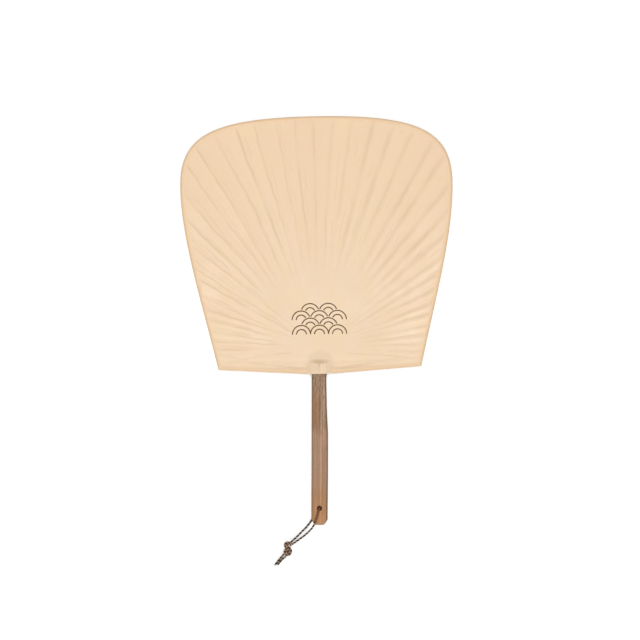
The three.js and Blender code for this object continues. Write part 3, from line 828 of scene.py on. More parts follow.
@dataclass
class Outline:
    """The edge of the face, about its own middle line, before it leans."""

    width: float = 0.250
    height: float = 0.2252
    foot_width: float = 0.1862
    foot_drop: float = 0.0061
    throat_drop: float = 0.0117
    neck_width: float = 0.0132
    hub_rise: float = 0.0124
    lean: float = math.radians(1.1)
    widest_share: float = 0.72
    start_lean_share: float = 0.225
    start_pull_share: float = 0.265
    side_pull_share: float = 0.213
    crown_rise_share: float = 0.213
    crown_flat_share: float = 0.38
    side_steps: int = 200
    crown_steps: int = 260
    foot_points: int = 120
    throat_points: int = 30
    right: np.ndarray = field(init=False)
    ring: np.ndarray = field(init=False)

    def __post_init__(self) -> None:
        """Draw the two curves of the right half, mirror them and close the ring along the lower edge."""
        half, widest = self.width / 2, self.height * self.widest_share
        corner = np.array((self.foot_width / 2, -self.foot_drop))
        pull = self.height * self.start_pull_share
        side = self.curve(corner, corner + (pull * self.start_lean_share, pull),
                          (half, widest - self.height * self.side_pull_share), (half, widest),
                          self.side_steps)
        crown = self.curve((half, widest), (half, widest + self.height * self.crown_rise_share),
                           (self.width * self.crown_flat_share, self.height), (0, self.height),
                           self.crown_steps)
        self.right = np.vstack((side, crown[1:]))
        left = self.right[:-1][::-1] * (-1, 1)
        neck_left, neck_right = ((x, -self.throat_drop) for x in (-self.neck_width / 2, self.neck_width / 2))
        foot_right = np.linspace(neck_right, corner, self.foot_points)[:-1]
        foot_left = np.linspace(corner * (-1, 1), neck_left, self.foot_points)[1:]
        throat = np.linspace(neck_left, neck_right, self.throat_points)[1:-1]
        self.ring = np.vstack((foot_right, self.right, left, foot_left, throat))

    @property
    def foot_slope(self) -> float:
        """Return how far the lower edge rises over a step across."""
        return (self.throat_drop - self.foot_drop) / (self.foot_width / 2 - self.neck_width / 2)

    @staticmethod
    def curve(p0: Sequence[float], p1: Sequence[float], p2: Sequence[float], p3: Sequence[float],
              count: int) -> np.ndarray:
        """Sample a cubic curve.

        Args:
            p0: Start.
            p1: First pull.
            p2: Second pull.
            p3: End.
            count: Number of steps.

        Returns:
            The points, one a row.
        """
        t = np.linspace(0, 1, count + 1)[:, None]
        p0, p1, p2, p3 = (np.asarray(p, float) for p in (p0, p1, p2, p3))
        return (1 - t) ** 3 * p0 + 3 * t * (1 - t) ** 2 * p1 + 3 * t * t * (1 - t) * p2 + t ** 3 * p3

    def rim_radius(self, angle: np.ndarray) -> np.ndarray:
        """Find how far the edge is from the hub.

        Args:
            angle: Angles from straight up, clockwise.

        Returns:
            The distance at each angle.
        """
        away = self.ring - (0, self.hub_rise)
        angles = np.arctan2(away[:, 0], away[:, 1])
        order = np.argsort(angles)
        return np.interp(angle, angles[order], np.hypot(away[:, 0], away[:, 1])[order], period=2 * math.pi)

    def bottom_edge(self, x: np.ndarray) -> np.ndarray:
        """Return the height of the lower edge at places across the face."""
        return -self.throat_drop + np.clip(np.abs(x) - self.neck_width / 2, 0, None) * self.foot_slope

    def to_frame(self, x: np.ndarray, y: np.ndarray, z: np.ndarray) -> np.ndarray:
        """Lean places on the face about the hub and move them into the frame.

        Args:
            x: Across, about the middle line.
            y: Up, from the bow line.
            z: Out of the front.

        Returns:
            Places in the frame, one a row.
        """
        x, y, z = (np.asarray(v, float) for v in (x, y, z))
        up = y - self.hub_rise
        cosine, sine = math.cos(self.lean), math.sin(self.lean)
        return np.stack((x * cosine - up * sine + BOW_POINT.x,
                         x * sine + up * cosine + self.hub_rise + BOW_POINT.y,
                         z + BOW_POINT.z), axis=-1)


@dataclass
class Relief:
    """The height of the paper over the ribs, the hub, the bow, the thread and the shoulder of the handle."""

    outline: Outline
    rib_count: int = 37
    rib_pitch: float = math.radians(5.03)
    wander: float = math.radians(0.3)
    wander_beat: float = 2.4
    root_radius: float = 0.011
    full_radius: float = 0.042
    root_width: float = 0.0007
    rib_width: float = 0.0013
    ridge_level: float = 0.001
    drift: float = 0.00035
    drift_beat: float = 150
    drift_span: Span = (0.03, 0.07)
    sag: float = 0.00046
    deepest: float = 0.0007
    sag_run: float = 0.62
    sag_span: Span = (0.05, 0.13)
    hub_sag: float = 0.35
    rim_sag: float = 0.4
    hidden_sag: float = 0.12
    rim_shown: float = 0.15
    flat_share: float = 0.75
    flat_margin: float = 0.0002
    firmness: Span = (0.5, 1.2)
    left_firmness: float = 0.6
    left_span: Span = (-1.15, -0.3)
    uneven: float = 0.3
    uneven_beats: Span = (110, 43)
    ribbed_span: Span = (math.radians(92), math.radians(95))
    rim_span: Span = (0.002, 0.010)
    hub_span: Span = (0.012, 0.026)
    arch_half_width: float = 0.054
    arch_height: float = 0.046
    arch_power: float = 3.0
    fade: float = 0.016
    crown_fade: float = 0.070
    aside_span: Span = (math.radians(15), math.radians(75))
    tent_half: float = 0.0072
    tent_run: float = 0.0056
    tent_level: float = 0.00244
    tent_top: float = -0.0012
    tent_arch: float = 0.0018
    tent_top_run: float = 0.0105
    bow_drop: float = 0.004
    bow_rise: float = 0.0026
    bow_reach: float = 0.0871
    bow_half: float = 0.0011
    bow_taper: float = 0.00045
    bow_slope: float = 0.0030
    bow_dip: float = 0.00022
    neck_span: Span = (0.010, 0.02)
    dip_span: Span = (0.0045, 0.008)
    thread_half: float = 0.0004
    thread_rise: float = 0.00006
    ripples: int = 5
    ripple: float = 0.00002
    ripple_beats: Span = (60, 260)

    def rib_angles(self) -> np.ndarray:
        """Return the direction of each rib from the hub."""
        place = np.arange(self.rib_count) - (self.rib_count - 1) / 2
        return place * self.rib_pitch + self.wander * np.sin(place * self.wander_beat)

    def half_rib(self, radius: np.ndarray) -> np.ndarray:
        """Return half a rib's width at distances from the hub."""
        share = np.clip((radius - self.root_radius) / (self.full_radius - self.root_radius), 0, 1)
        return (self.root_width + (self.rib_width - self.root_width) * share) / 2

    def arch_radius(self, angle: np.ndarray) -> np.ndarray:
        """Find how far the thread's arch is from the hub.

        Args:
            angle: Angles from straight up, clockwise.

        Returns:
            The distance at each angle.
        """
        across = np.abs(np.sin(angle) / self.arch_half_width) ** self.arch_power
        up = np.abs(np.cos(angle) / self.arch_height) ** self.arch_power
        return (across + up) ** (-1 / self.arch_power)

    def bow_hollow(self, x: np.ndarray, y: np.ndarray, ribbed: np.ndarray) -> np.ndarray:
        """Work out how far the paper dips beside the bow, where no rib holds it.

        Args:
            x: Across, about the middle line.
            y: Up, from the bow line.
            ribbed: How far each place is held by ribs.

        Returns:
            The depth.
        """
        share = np.clip(np.abs(x) / self.bow_reach, 0, 1)
        above = y - (-self.bow_drop + self.bow_rise * share ** 2)
        slope = smooth_step(0, self.bow_slope, np.abs(above) - (self.bow_half - self.bow_taper * share))
        beside = slope * (1 - ribbed) * smooth_step(*self.neck_span, np.abs(x))
        return self.bow_dip * beside * (1 - smooth_step(*self.dip_span, above))

    def tent(self, x: np.ndarray, y: np.ndarray) -> np.ndarray:
        """Work out where the paper stands over the upper end of the handle.

        Args:
            x: Across, about the middle line.
            y: Up, from the bow line.

        Returns:
            The share of the handle's level.
        """
        beside = np.clip(np.abs(x) - self.tent_half, 0, None) / self.tent_run
        arched = self.tent_top + self.tent_arch * (1 - np.clip(np.abs(x) / self.tent_half, 0, 1) ** 2)
        above = np.clip(y - arched, 0, None) / self.tent_top_run
        return 1 - smooth_step(0, 1, np.hypot(beside, above))

    def heights(self, x: np.ndarray, y: np.ndarray, seed: int) -> dict[str, np.ndarray]:
        """Work out the paper at places on the face.

        Args:
            x: Across, about the middle line.
            y: Up, from the bow line.
            seed: Chooses the small unevenness, so that the two papers differ.

        Returns:
            The outer surface's level, and there how far the ribs show and the tint between two ribs.
        """
        rng = np.random.default_rng(seed)
        up = y - self.outline.hub_rise
        radius, angle = np.hypot(x, up), np.arctan2(x, up)
        ribs = self.rib_angles()
        nearest = np.abs(angle[..., None] - ribs).argmin(-1)
        offset = (angle - ribs[nearest]) * radius
        beat = rng.uniform(0, 2 * math.pi, self.rib_count)[nearest]
        drift = self.drift * np.sin(radius * self.drift_beat + beat) * smooth_step(*self.drift_span, radius)
        half = self.half_rib(radius)
        room = np.maximum(self.rib_pitch * radius / 2 - half, 1e-5)
        run = self.sag_run * room + self.flat_margin
        fall = smooth_step(0.0, 1.0, (np.abs(offset + drift) - half * self.flat_share) / run)
        firmness = rng.uniform(*self.firmness, self.rib_count)[nearest]
        firmness = firmness * at_least(self.left_firmness, smooth_step(*self.left_span, angle))
        fast, slow = self.uneven_beats
        uneven = 1 + self.uneven * np.sin(radius * fast + beat) * np.sin(radius * slow + 2 * beat)
        ribbed = 1 - smooth_step(*self.ribbed_span, np.abs(angle))
        arch = self.arch_radius(angle)
        inner = smooth_step(*self.rim_span, self.outline.rim_radius(angle) - radius)
        aside = smooth_step(*self.aside_span, np.abs(angle))
        fade = self.crown_fade + (self.fade - self.crown_fade) * aside
        rising = smooth_step(0, 1, (radius - arch) / fade)
        shown = rising * smooth_step(*self.hub_span, radius) * ribbed
        outward_share = at_least(self.hub_sag, smooth_step(*self.sag_span, radius))
        deep = self.sag * firmness * uneven * outward_share * at_least(self.rim_sag, inner)
        level = self.ridge_level - (np.minimum(deep, self.deepest) * fall * at_least(self.hidden_sag, shown)
                                    * ribbed)
        level = level - self.bow_hollow(x, y, ribbed)
        thread = np.exp(-((radius - arch) / self.thread_half) ** 2) * (np.abs(angle) < self.ribbed_span[1])
        level = level + self.thread_rise * thread
        tent = self.tent(x, y)
        level = level * (1 - tent) + self.tent_level * tent
        for _ in range(self.ripples):
            way = rng.uniform(0, math.pi)
            wave = x * math.cos(way) + y * math.sin(way)
            level = level + self.ripple * np.sin(wave * rng.uniform(*self.ripple_beats) + rng.uniform(0, 6))
        between_ribs = rng.uniform(0, 1, self.rib_count + 1)[nearest + (offset > 0)]
        return {"level": level, "shown": shown * at_least(self.rim_shown, inner),
                "panel": between_ribs * rising * ribbed}


@dataclass
class PaperFace:
    """One sheet of paper, drawn over the ribs from the hub to the edge."""

    relief: Relief
    side: Side
    material: bpy.types.Material
    thickness: float = 0.0002
    edge_gap: float = 0.0005
    rows: int = 58
    row_power: float = 1.15
    first_radius: float = 0.0005
    offsets: tuple[float, ...] = (0.0, 0.0005, 0.0009, 0.0014, 0.0020, 0.0028, 0.0038, 0.0050)
    room_share: float = 0.92
    low_step: float = math.radians(1.2)

    def reach(self, angle: float | np.ndarray) -> np.ndarray:
        """Return how far the sheet goes from the hub at an angle."""
        return self.relief.outline.rim_radius(np.asarray(angle)) - self.edge_gap

    def grid(self) -> tuple[np.ndarray, np.ndarray]:
        """Lay out the grid, with columns that keep to the ribs and to the panels between them.

        Returns:
            The places across and up, with a row for each distance and a column for each run from the hub.
        """
        shares = np.linspace(0, 1, self.rows) ** self.row_power
        outline, pitch = self.relief.outline, self.relief.rib_pitch
        columns: list[np.ndarray] = []
        ribs = self.relief.rib_angles()
        for angle in ribs:
            rim = outline.rim_radius(np.array(angle))
            for offset in [-o for o in self.offsets[:0:-1]] + list(self.offsets):
                radius = self.first_radius + shares * (self.reach(angle + offset / rim) - self.first_radius)
                room = pitch * radius / 2 * self.room_share
                turned = offset * np.minimum(1.0, room / self.offsets[-1])
                columns.append(np.stack((angle + turned / radius, radius)))
        start = ribs[-1] + pitch / 2
        for angle in np.arange(start, 2 * math.pi - start + 1e-6, self.low_step):
            radius = self.first_radius + shares * (self.reach(angle) - self.first_radius)
            columns.append(np.stack((np.full(self.rows, angle), radius)))
        polar = np.stack(columns, axis=1)
        return np.sin(polar[0]) * polar[1], np.cos(polar[0]) * polar[1] + outline.hub_rise

    def build(self) -> Object:
        """Make the sheet, closed all round, with its attributes for the finish.

        Returns:
            The piece.
        """
        x, y = self.grid()
        count, rows = x.shape
        sign, outline, ridge = self.side.value, self.relief.outline, self.relief.ridge_level
        found = self.relief.heights(x, y, SEED + sign)
        outer, inner = (outline.to_frame(x, y, sign * (found["level"] - depth)).reshape(-1, 3)
                        for depth in (0.0, self.thickness))
        hub = outline.to_frame(np.zeros(2), np.full(2, outline.hub_rise),
                               sign * np.array([ridge, ridge - self.thickness]))
        middle = len(outer)
        faces: list[tuple[int, ...]] = []
        for column in range(count):
            a, b = column * rows, (column + 1) % count * rows
            faces += [(2 * middle, a, b), (2 * middle + 1, middle + b, middle + a)]
            for _ in range(rows - 1):
                faces += [(a, a + 1, b + 1, b), (middle + a, middle + b, middle + b + 1, middle + a + 1)]
                a, b = a + 1, b + 1
            faces.append((a, middle + a, middle + b, b))
        name = f"{self.side.name.lower()}_paper"
        obj = mesh_object(f"{name}_sheet", np.vstack((outer, inner, hub)), faces)
        for key in ("shown", "panel"):
            values = found[key].reshape(-1)
            layer = obj.data.attributes.new(key, "FLOAT", "POINT")
            layer.data.foreach_set("value", np.concatenate((values, values, (0.0, 0.0))).astype(np.float32))
        outward(obj, 1e-8)
        shade(obj, 60)
        return dress(obj, Body.FAN, name, self.material)


class GeometryTree(Graph):
    """A Geometry Nodes tree with named inputs, which ends in real geometry of one material."""

    def __init__(self, name: str, inputs: dict[str, str]) -> None:
        """Start a tree.

        Args:
            name: Name of the tree.
            inputs: Name and kind of each input after the geometry and the material.
        """
        super().__init__(bpy.data.node_groups.new(name, "GeometryNodeTree"))
        self.tree.is_modifier = True
        self.keys: dict[str, str] = {}
        for label, kind in {"Geometry": "Geometry", **inputs, "Material": "Material"}.items():
            socket = self.tree.interface.new_socket(label, in_out="INPUT", socket_type=f"NodeSocket{kind}")
            self.keys[label] = socket.identifier
        self.tree.interface.new_socket("Geometry", in_out="OUTPUT", socket_type="NodeSocketGeometry")
        start = self.add("NodeGroupInput").outputs
        self.inputs = {label: Value(self, start[label]) for label in self.keys}

    def vectors(self, operation: str, *values: object, **named: object) -> Value:
        """Put vectors, and a Scale if there is one, through a Vector Math node."""
        return self.out("ShaderNodeVectorMath", {**dict(enumerate(values)), **named}, operation=operation)

    def mark(self, geometry: Value, name: str, value: object) -> Value:
        """Store a value on each point of some geometry, under a name."""
        links = {"Geometry": geometry, "Name": name, "Value": value}
        return self.out("GeometryNodeStoreNamedAttribute", links, data_type="FLOAT", domain="POINT")

    def finish(self, geometry: object) -> None:
        """End the tree.

        Args:
            geometry: What it makes.
        """
        real = self.out("GeometryNodeRealizeInstances", {"Geometry": geometry})
        done = self.out("GeometryNodeSetMaterial", {"Geometry": real, "Material": self.inputs["Material"]})
        self.add("NodeGroupOutput", {0: done})

    def apply(self, obj: Object, values: dict[str, object]) -> Object:
        """Run the tree on a piece and keep the result as a plain mesh.

        Args:
            obj: The piece that carries the input geometry.
            values: Input name to value.

        Returns:
            A new mesh object with the piece's name.
        """
        modifier = obj.modifiers.new("shape", "NODES")
        modifier.node_group = self.tree
        for label, value in values.items():
            modifier[self.keys[label]] = value
        mesh = evaluated_mesh(obj)
        name = obj.name
        bpy.data.objects.remove(obj)
        mesh.name = name
        return new_object(name, mesh)


@dataclass
class Twine:
    """Three-ply twine: round plies, one of them pale, that wind round the path as it runs."""

    material: bpy.types.Material
    diameter: float = 0.0018
    lay: float = 0.0036
    step: float = 0.00022
    plies: int = 3
    ply_radius: float = 0.00043
    ply_offset: float = 0.00049
    ply_sides: int = 9
    tree: GeometryTree = field(init=False)

    def __post_init__(self) -> None:
        """Build the tree that winds the plies."""
        made = GeometryTree("twisted_twine", {"Ply radius": "Float", "Ply offset": "Float", "Lay": "Float",
                                              "Start turn": "Float", "Step": "Float", "Sides": "Int"})
        inputs = made.inputs
        path = made.out("GeometryNodeResampleCurve", {"Curve": inputs["Geometry"], "Length": inputs["Step"]},
                        mode="LENGTH")
        profile = made.out("GeometryNodeCurvePrimitiveCircle", {"Resolution": inputs["Sides"],
                                                                "Radius": inputs["Ply radius"]})
        normal = made.out("GeometryNodeInputNormal")
        across = made.vectors("CROSS_PRODUCT", made.out("GeometryNodeInputTangent"), normal)
        length = Value(made, made.add("GeometryNodeSplineParameter").outputs["Length"])
        turns = length / inputs["Lay"] * (2 * math.pi) + inputs["Start turn"]
        joined = made.add("GeometryNodeJoinGeometry")
        for ply in range(self.plies):
            phase = turns + ply * 2 * math.pi / self.plies
            out = made.vectors("ADD", made.vectors("SCALE", normal, Scale=phase.maths("COSINE")),
                               made.vectors("SCALE", across, Scale=phase.maths("SINE")))
            offset = made.vectors("SCALE", out, Scale=inputs["Ply offset"])
            wound = made.out("GeometryNodeSetPosition", {"Geometry": path, "Offset": offset})
            solid = made.out("GeometryNodeCurveToMesh", {"Curve": wound, "Profile Curve": profile,
                                                         "Fill Caps": True})
            marked = made.mark(solid, "ply", 1.0 if ply == 0 else 0.0)
            made.link(made.out("GeometryNodeSetShadeSmooth", {"Geometry": marked}), joined.inputs[0])
        made.finish(joined.outputs[0])
        self.tree = made

    def wind(self, name: str, points: Sequence[Vector], turn: float) -> Object:
        """Make twine along a path.

        Args:
            name: Name of the piece.
            points: The path, closely spaced, in the frame.
            turn: Where the first ply starts round the path, in radians.

        Returns:
            The piece.
        """
        return self.tree.apply(curve_object(name, points), {
            "Ply radius": self.ply_radius, "Ply offset": self.ply_offset, "Lay": self.lay,
            "Start turn": turn, "Step": self.step, "Sides": self.ply_sides, "Material": self.material})


@dataclass
class EdgeStrip:
    """A strip of paper folded over the edge of both sheets, made along a stretch of the outline."""

    outline: Outline
    material: bpy.types.Material
    level: float = 0.0011
    foot_level: float = 0.00106
    rim_band: float = 0.0031
    foot_band: float = 0.0038
    foot_start: float = 0.0114
    fold_depth: float = 0.0008
    fold_share: float = 0.3
    unevenness: float = 0.0005
    thickness: float = 0.0001
    rim_steps: int = 520
    foot_steps: int = 120
    steps_across: int = 23
    tree: GeometryTree = field(init=False)

    def __post_init__(self) -> None:
        """Build the tree that folds a flat grid over a curve."""
        made = GeometryTree("folded_edge_strip", {
            "Path": "Object", "Band": "Float", "Level": "Float", "Fold": "Float", "Unevenness": "Float",
            "Along": "Int", "Across": "Int", "Seed": "Float"})
        inputs = made.inputs
        flat = made.out("GeometryNodeMeshGrid", {"Size X": 1.0, "Size Y": 1.0, "Vertices X": inputs["Along"],
                                                 "Vertices Y": inputs["Across"]})
        along, across, _ = made.parts(made.out("GeometryNodeInputPosition"))
        curve = made.add("GeometryNodeObjectInfo", {"Object": inputs["Path"]}).outputs["Geometry"]
        sample = made.add("GeometryNodeSampleCurve", {"Curves": curve, "Factor": along + 0.5}, mode="FACTOR",
                          use_all_curves=True).outputs
        inward = made.vectors("NORMALIZE", made.vectors("CROSS_PRODUCT", FRONT_WAY, sample["Tangent"]))
        across = across * 2.0
        size = abs(across)
        turn = (size / self.fold_share).maths("MINIMUM", 1.0) * (math.pi / 2)
        flatness = made.out("ShaderNodeMath", {0: 1.0, 1: turn.maths("COSINE")}, operation="SUBTRACT")
        leg = ((size - self.fold_share) / (1 - self.fold_share)).most(0.0)
        spread = made.vectors("SCALE", sample["Position"], Scale=60.0)
        wobble = made.out("ShaderNodeTexNoise", {"Vector": spread, "Scale": 1.0, "W": inputs["Seed"]},
                          noise_dimensions="4D")
        uneven = (wobble - 0.5) * inputs["Unevenness"]
        depth = flatness * inputs["Fold"] + leg * (inputs["Band"] - inputs["Fold"] + uneven)
        height = turn.maths("SINE") * inputs["Level"] * across.maths("SIGN")
        spot = made.vectors("ADD", sample["Position"], made.vectors("SCALE", inward, Scale=depth))
        lifted = made.vectors("ADD", spot, made.out("ShaderNodeCombineXYZ", {"Z": height}))
        marked = made.mark(flat, "leg", size)
        made.finish(made.out("GeometryNodeSetPosition", {"Geometry": marked, "Position": lifted}))
        self.tree = made

    def fold(self, name: str, node: str, stretch: np.ndarray, band: float, along: int, level: float,
             seed: float) -> Object:
        """Fold one strip over a stretch of the edge.

        Args:
            name: Name of the piece.
            node: The CAD node that the piece stands for.
            stretch: Points of the outline, anticlockwise, about the face's middle line.
            band: Width of the band on each side.
            along: Number of points along it.
            level: Height of the band's middle over the middle of the fan.
            seed: Chooses its unevenness.

        Returns:
            The piece.
        """
        places = self.outline.to_frame(stretch[:, 0], stretch[:, 1], np.zeros(len(stretch)))
        path = curve_object(f"{name}_path", [Vector(p) for p in places])
        obj = self.tree.apply(mesh_object(name, [(0, 0, 0)], []), {
            "Path": path, "Band": band, "Level": level, "Fold": self.fold_depth,
            "Unevenness": self.unevenness, "Along": along, "Across": self.steps_across, "Seed": seed,
            "Material": self.material})
        bpy.data.objects.remove(path)
        wall = obj.modifiers.new("wall", "SOLIDIFY")
        wall.thickness, wall.offset = self.thickness, 0.0
        bake(obj)
        outward(obj, 1e-8)
        shade(obj, 50)
        return dress(obj, Body.FAN, node)

    def build(self) -> None:
        """Fold the strip over the sides and top, and one over each lower edge."""
        right = self.outline.right
        rim = np.vstack((right, right[:-1][::-1] * (-1, 1)))
        self.fold("rim_strip", "rim_binding", rim, self.rim_band, self.rim_steps, self.level, 3.0)
        start = np.array((self.foot_start, self.outline.bottom_edge(self.foot_start)))
        foot = np.linspace(start, right[0], 40)
        for side, stretch, seed in (("right", foot, 5.0), ("left", foot[::-1] * (-1, 1), 8.0)):
            self.fold(f"foot_strip_{side}", f"foot_binding_{side}", stretch, self.foot_band, self.foot_steps,
                      self.foot_level, seed)


@dataclass
class Handle:
    """The flat bamboo handle, with eased edges, cut corners and the cord hole."""

    material: bpy.types.Material
    thickness: float = 0.004
    drop: float = 0.1499
    end_half: float = 0.00395
    corner_height: float = 0.0045
    corner_lead: float = 0.0012
    corner_turn: tuple[float, float] = (0.0008, 0.0010)
    end_turn: tuple[float, float] = (0.0009, 0.0011)
    ease: float = 0.0009
    ease_shade: float = 0.75
    hole_radius: float = 0.0021
    hole_rise: float = 0.0153
    hole_ease: float = 0.0005
    crown_radius: float = 0.011
    crown_rise: float = 0.0124
    crown_half: float = 0.0005
    steps: int = 5
    places: int = 72
    smoothing: int = 5
    corner_points: int = 7
    hole_sides: int = 48
    crown_sides: int = 64
    right_edge: tuple[Span, ...] = (
        (0.0, 0.0066), (-0.009, 0.0064), (-0.013, 0.00615), (-0.030, 0.0065), (-0.043, 0.0067),
        (-0.054, 0.0072), (-0.059, 0.0075), (-0.065, 0.00776), (-0.103, 0.00776), (-0.120, 0.0076),
        (-0.136, 0.00745), (-0.15, 0.00745),
    )
    left_edge: tuple[Span, ...] = (
        (0.0, 0.0066), (-0.009, 0.0068), (-0.013, 0.0071), (-0.045, 0.0072), (-0.085, 0.00725),
        (-0.110, 0.00735), (-0.130, 0.00745), (-0.15, 0.00745),
    )

    def edge(self, knots: Sequence[Span]) -> list[Span]:
        """Run one side of the blade through its knots, then round its cut corner.

        Args:
            knots: Places along the handle and the distance from the middle line there.

        Returns:
            Points from the upper end to the lower end.
        """
        end, flat, corner = -self.drop, self.end_half, -self.drop + self.corner_height
        places = np.linspace(0, corner + self.corner_lead, self.places)
        table = np.array(knots)[::-1]
        raw = np.interp(places, table[:, 0], table[:, 1])
        window = np.ones(self.smoothing) / self.smoothing
        eased = np.convolve(np.pad(raw, self.smoothing // 2, mode="edge"), window, mode="valid")
        half = eased[-1]
        (turn_in, turn_down), (end_in, end_up) = self.corner_turn, self.end_turn
        points = list(zip(eased, places))[:-1]
        cut = (half, corner + self.corner_lead), (half, corner), (half - turn_in, corner - turn_down)
        foot = (flat + end_in, end + end_up), (flat, end), (flat - end_in, end)
        for p0, p1, p2 in (np.array(cut), np.array(foot)):
            for t in np.linspace(0, 1, self.corner_points):
                points.append(tuple((1 - t) ** 2 * p0 + 2 * t * (1 - t) * p1 + t * t * p2))
        return points

    def contour(self) -> np.ndarray:
        """Return the plan of the blade, anticlockwise."""
        right, left = np.array(self.edge(self.right_edge)), np.array(self.edge(self.left_edge))
        return np.vstack((right, left[::-1] * (-1, 1)))[::-1]

    @staticmethod
    def inset(points: np.ndarray, distance: float) -> np.ndarray:
        """Move a closed plan inwards, to the left of its direction.

        Args:
            points: Points of the plan, anticlockwise for an outer edge.
            distance: How far.

        Returns:
            The moved points.
        """
        ahead, behind = np.roll(points, -1, 0) - points, points - np.roll(points, 1, 0)
        ahead, behind = (v / np.linalg.norm(v, axis=1)[:, None] for v in (ahead, behind))
        normal = np.stack((-ahead[:, 1] - behind[:, 1], ahead[:, 0] + behind[:, 0]), 1)
        return points + distance * normal / (1 + (ahead * behind).sum(1))[:, None]

    def share_across(self, x: float, y: float) -> float:
        """Return the place across the blade: -1 at its left edge, 1 at its right edge."""
        table = np.array(self.right_edge if x > 0 else self.left_edge)[::-1]
        return x / float(np.interp(y, table[:, 0], table[:, 1]))

    def blade(self, work: bmesh.types.BMesh) -> None:
        """Build the blade and its hole in rounded layers, and mark each corner's share of painted edge shade
        and its place across.

        Args:
            work: The mesh to build it in.
        """
        angles = np.linspace(0, 2 * math.pi, self.hole_sides + 1)[:-1]
        middle = (0, -self.drop + self.hole_rise)
        hole = np.stack((np.cos(angles), -np.sin(angles)), 1) * self.hole_radius + middle
        turns = [step / self.steps * math.pi / 2 for step in range(self.steps + 1)]
        layers = [(1 - math.sin(turn), 1 - math.cos(turn), -1.0) for turn in turns]
        layers = layers + [(a, b, 1.0) for a, b, _ in reversed(layers)]
        wear, side = (work.verts.layers.float.new(name) for name in ("wear", "side"))
        caps: tuple[list, list] = ([], [])
        for plan, ease, painted_shade in ((self.contour(), self.ease, self.ease_shade), (hole, self.hole_ease, 1.0)):
            loops: list[list[bmesh.types.BMVert]] = []
            for inset_share, drop_share, sign in layers:
                height = sign * (self.thickness / 2 - ease * drop_share)
                moved = self.inset(plan, ease * inset_share)
                loops.append([work.verts.new((x, y, height)) for x, y in moved])
                for vert in loops[-1]:
                    # The painted edge shade is strongest at the outermost layer and fills the hole's wall.
                    vert[wear] = painted_shade * (1 - inset_share)
                    vert[side] = self.share_across(vert.co.x, vert.co.y)
            for lower, upper in zip(loops, loops[1:]):
                for a, b, c, d in zip(lower, lower[1:] + lower[:1], upper[1:] + upper[:1], upper):
                    work.faces.new((a, b, c, d))
            for cap, loop in zip(caps, (loops[0], loops[-1])):
                cap.extend(work.edges.get(pair) for pair in zip(loop, loop[1:] + loop[:1]))
        for cap in caps:
            bmesh.ops.triangle_fill(work, use_beauty=True, use_dissolve=False, edges=cap)

    def build(self) -> Object:
        """Make the handle, with the thin crown and its tongue at the upper end.

        Returns:
            The piece.
        """
        work = bmesh.new()
        self.blade(work)
        crown = bmesh.ops.create_cone(work, cap_ends=True, segments=self.crown_sides,
                                      radius1=self.crown_radius, radius2=self.crown_radius,
                                      depth=2 * self.crown_half)
        bmesh.ops.translate(work, verts=crown["verts"], vec=(0, self.crown_rise, 0))
        tongue = bmesh.ops.create_cube(work, size=1.0)
        bmesh.ops.scale(work, verts=tongue["verts"], vec=(2 * self.right_edge[0][1], 2 * self.crown_rise,
                                                          2 * self.crown_half))
        bmesh.ops.recalc_face_normals(work, faces=work.faces)
        bmesh.ops.translate(work, verts=work.verts, vec=BOW_POINT)
        obj = work_object("bamboo_handle", work)
        shade(obj, 28)
        obj.modifiers.new("normals", "WEIGHTED_NORMAL").keep_sharp = True
        bake(obj)
        return dress(obj, Body.FAN, "handle", self.material)


def route(points: Sequence[Place]) -> list[Vector]:
    """Move a route's points into the frame."""
    return [Vector(point) + BOW_POINT for point in points]


FRONT_ROUTE = (
    (0.0001, -0.1344, 0.00015), (0, -0.1346, 0.0013), (-0.00025, -0.1355, 0.00255),
    (-0.0008, -0.1372, 0.0031), (-0.0015, -0.1396, 0.00313), (-0.0024, -0.1428, 0.00313),
    (-0.0035, -0.146, 0.00313), (-0.00475, -0.149, 0.0031), (-0.0062, -0.1518, 0.0021),
    (-0.0081, -0.1543, 0.0003), (-0.0103, -0.1568, -0.0015), (-0.0127, -0.1592, -0.00275),
    (-0.0154, -0.1614, -0.0031), (-0.0186, -0.1637, -0.00305), (-0.0222, -0.1662, -0.0024),
    (-0.0256, -0.1683, -0.00165),
)
BACK_ROUTE = (
    (0.0001, -0.1344, -0.00015), (0, -0.1346, -0.0013), (-0.0004, -0.1354, -0.0026),
    (-0.0014, -0.1368, -0.00308), (-0.0029, -0.139, -0.00312), (-0.0045, -0.1415, -0.00312),
    (-0.0062, -0.1442, -0.00312), (-0.008, -0.1471, -0.00312), (-0.0101, -0.15, -0.00312),
    (-0.0127, -0.1531, -0.00312), (-0.0158, -0.1562, -0.00312), (-0.0188, -0.1593, -0.0031),
    (-0.0216, -0.162, -0.0028), (-0.0241, -0.1642, -0.0022), (-0.0265, -0.16625, -0.0015),
)
LEFT_TAIL_ROUTE = (
    (-0.0329, -0.1772, -0.0015), (-0.034, -0.1786, -0.0019), (-0.0353, -0.1801, -0.0025),
    (-0.0368, -0.1819, -0.00295), (-0.0382, -0.1837, -0.00312), (-0.0396, -0.1855, -0.00312),
    (-0.0405, -0.1868, -0.00312),
)
RIGHT_TAIL_ROUTE = (
    (-0.031, -0.1793, -0.0015), (-0.032, -0.1801, -0.0019), (-0.0334, -0.18135, -0.0025),
    (-0.03475, -0.18275, -0.00295), (-0.0361, -0.1843, -0.00312), (-0.0372, -0.1857, -0.00312),
    (-0.0379, -0.1866, -0.00312),
)
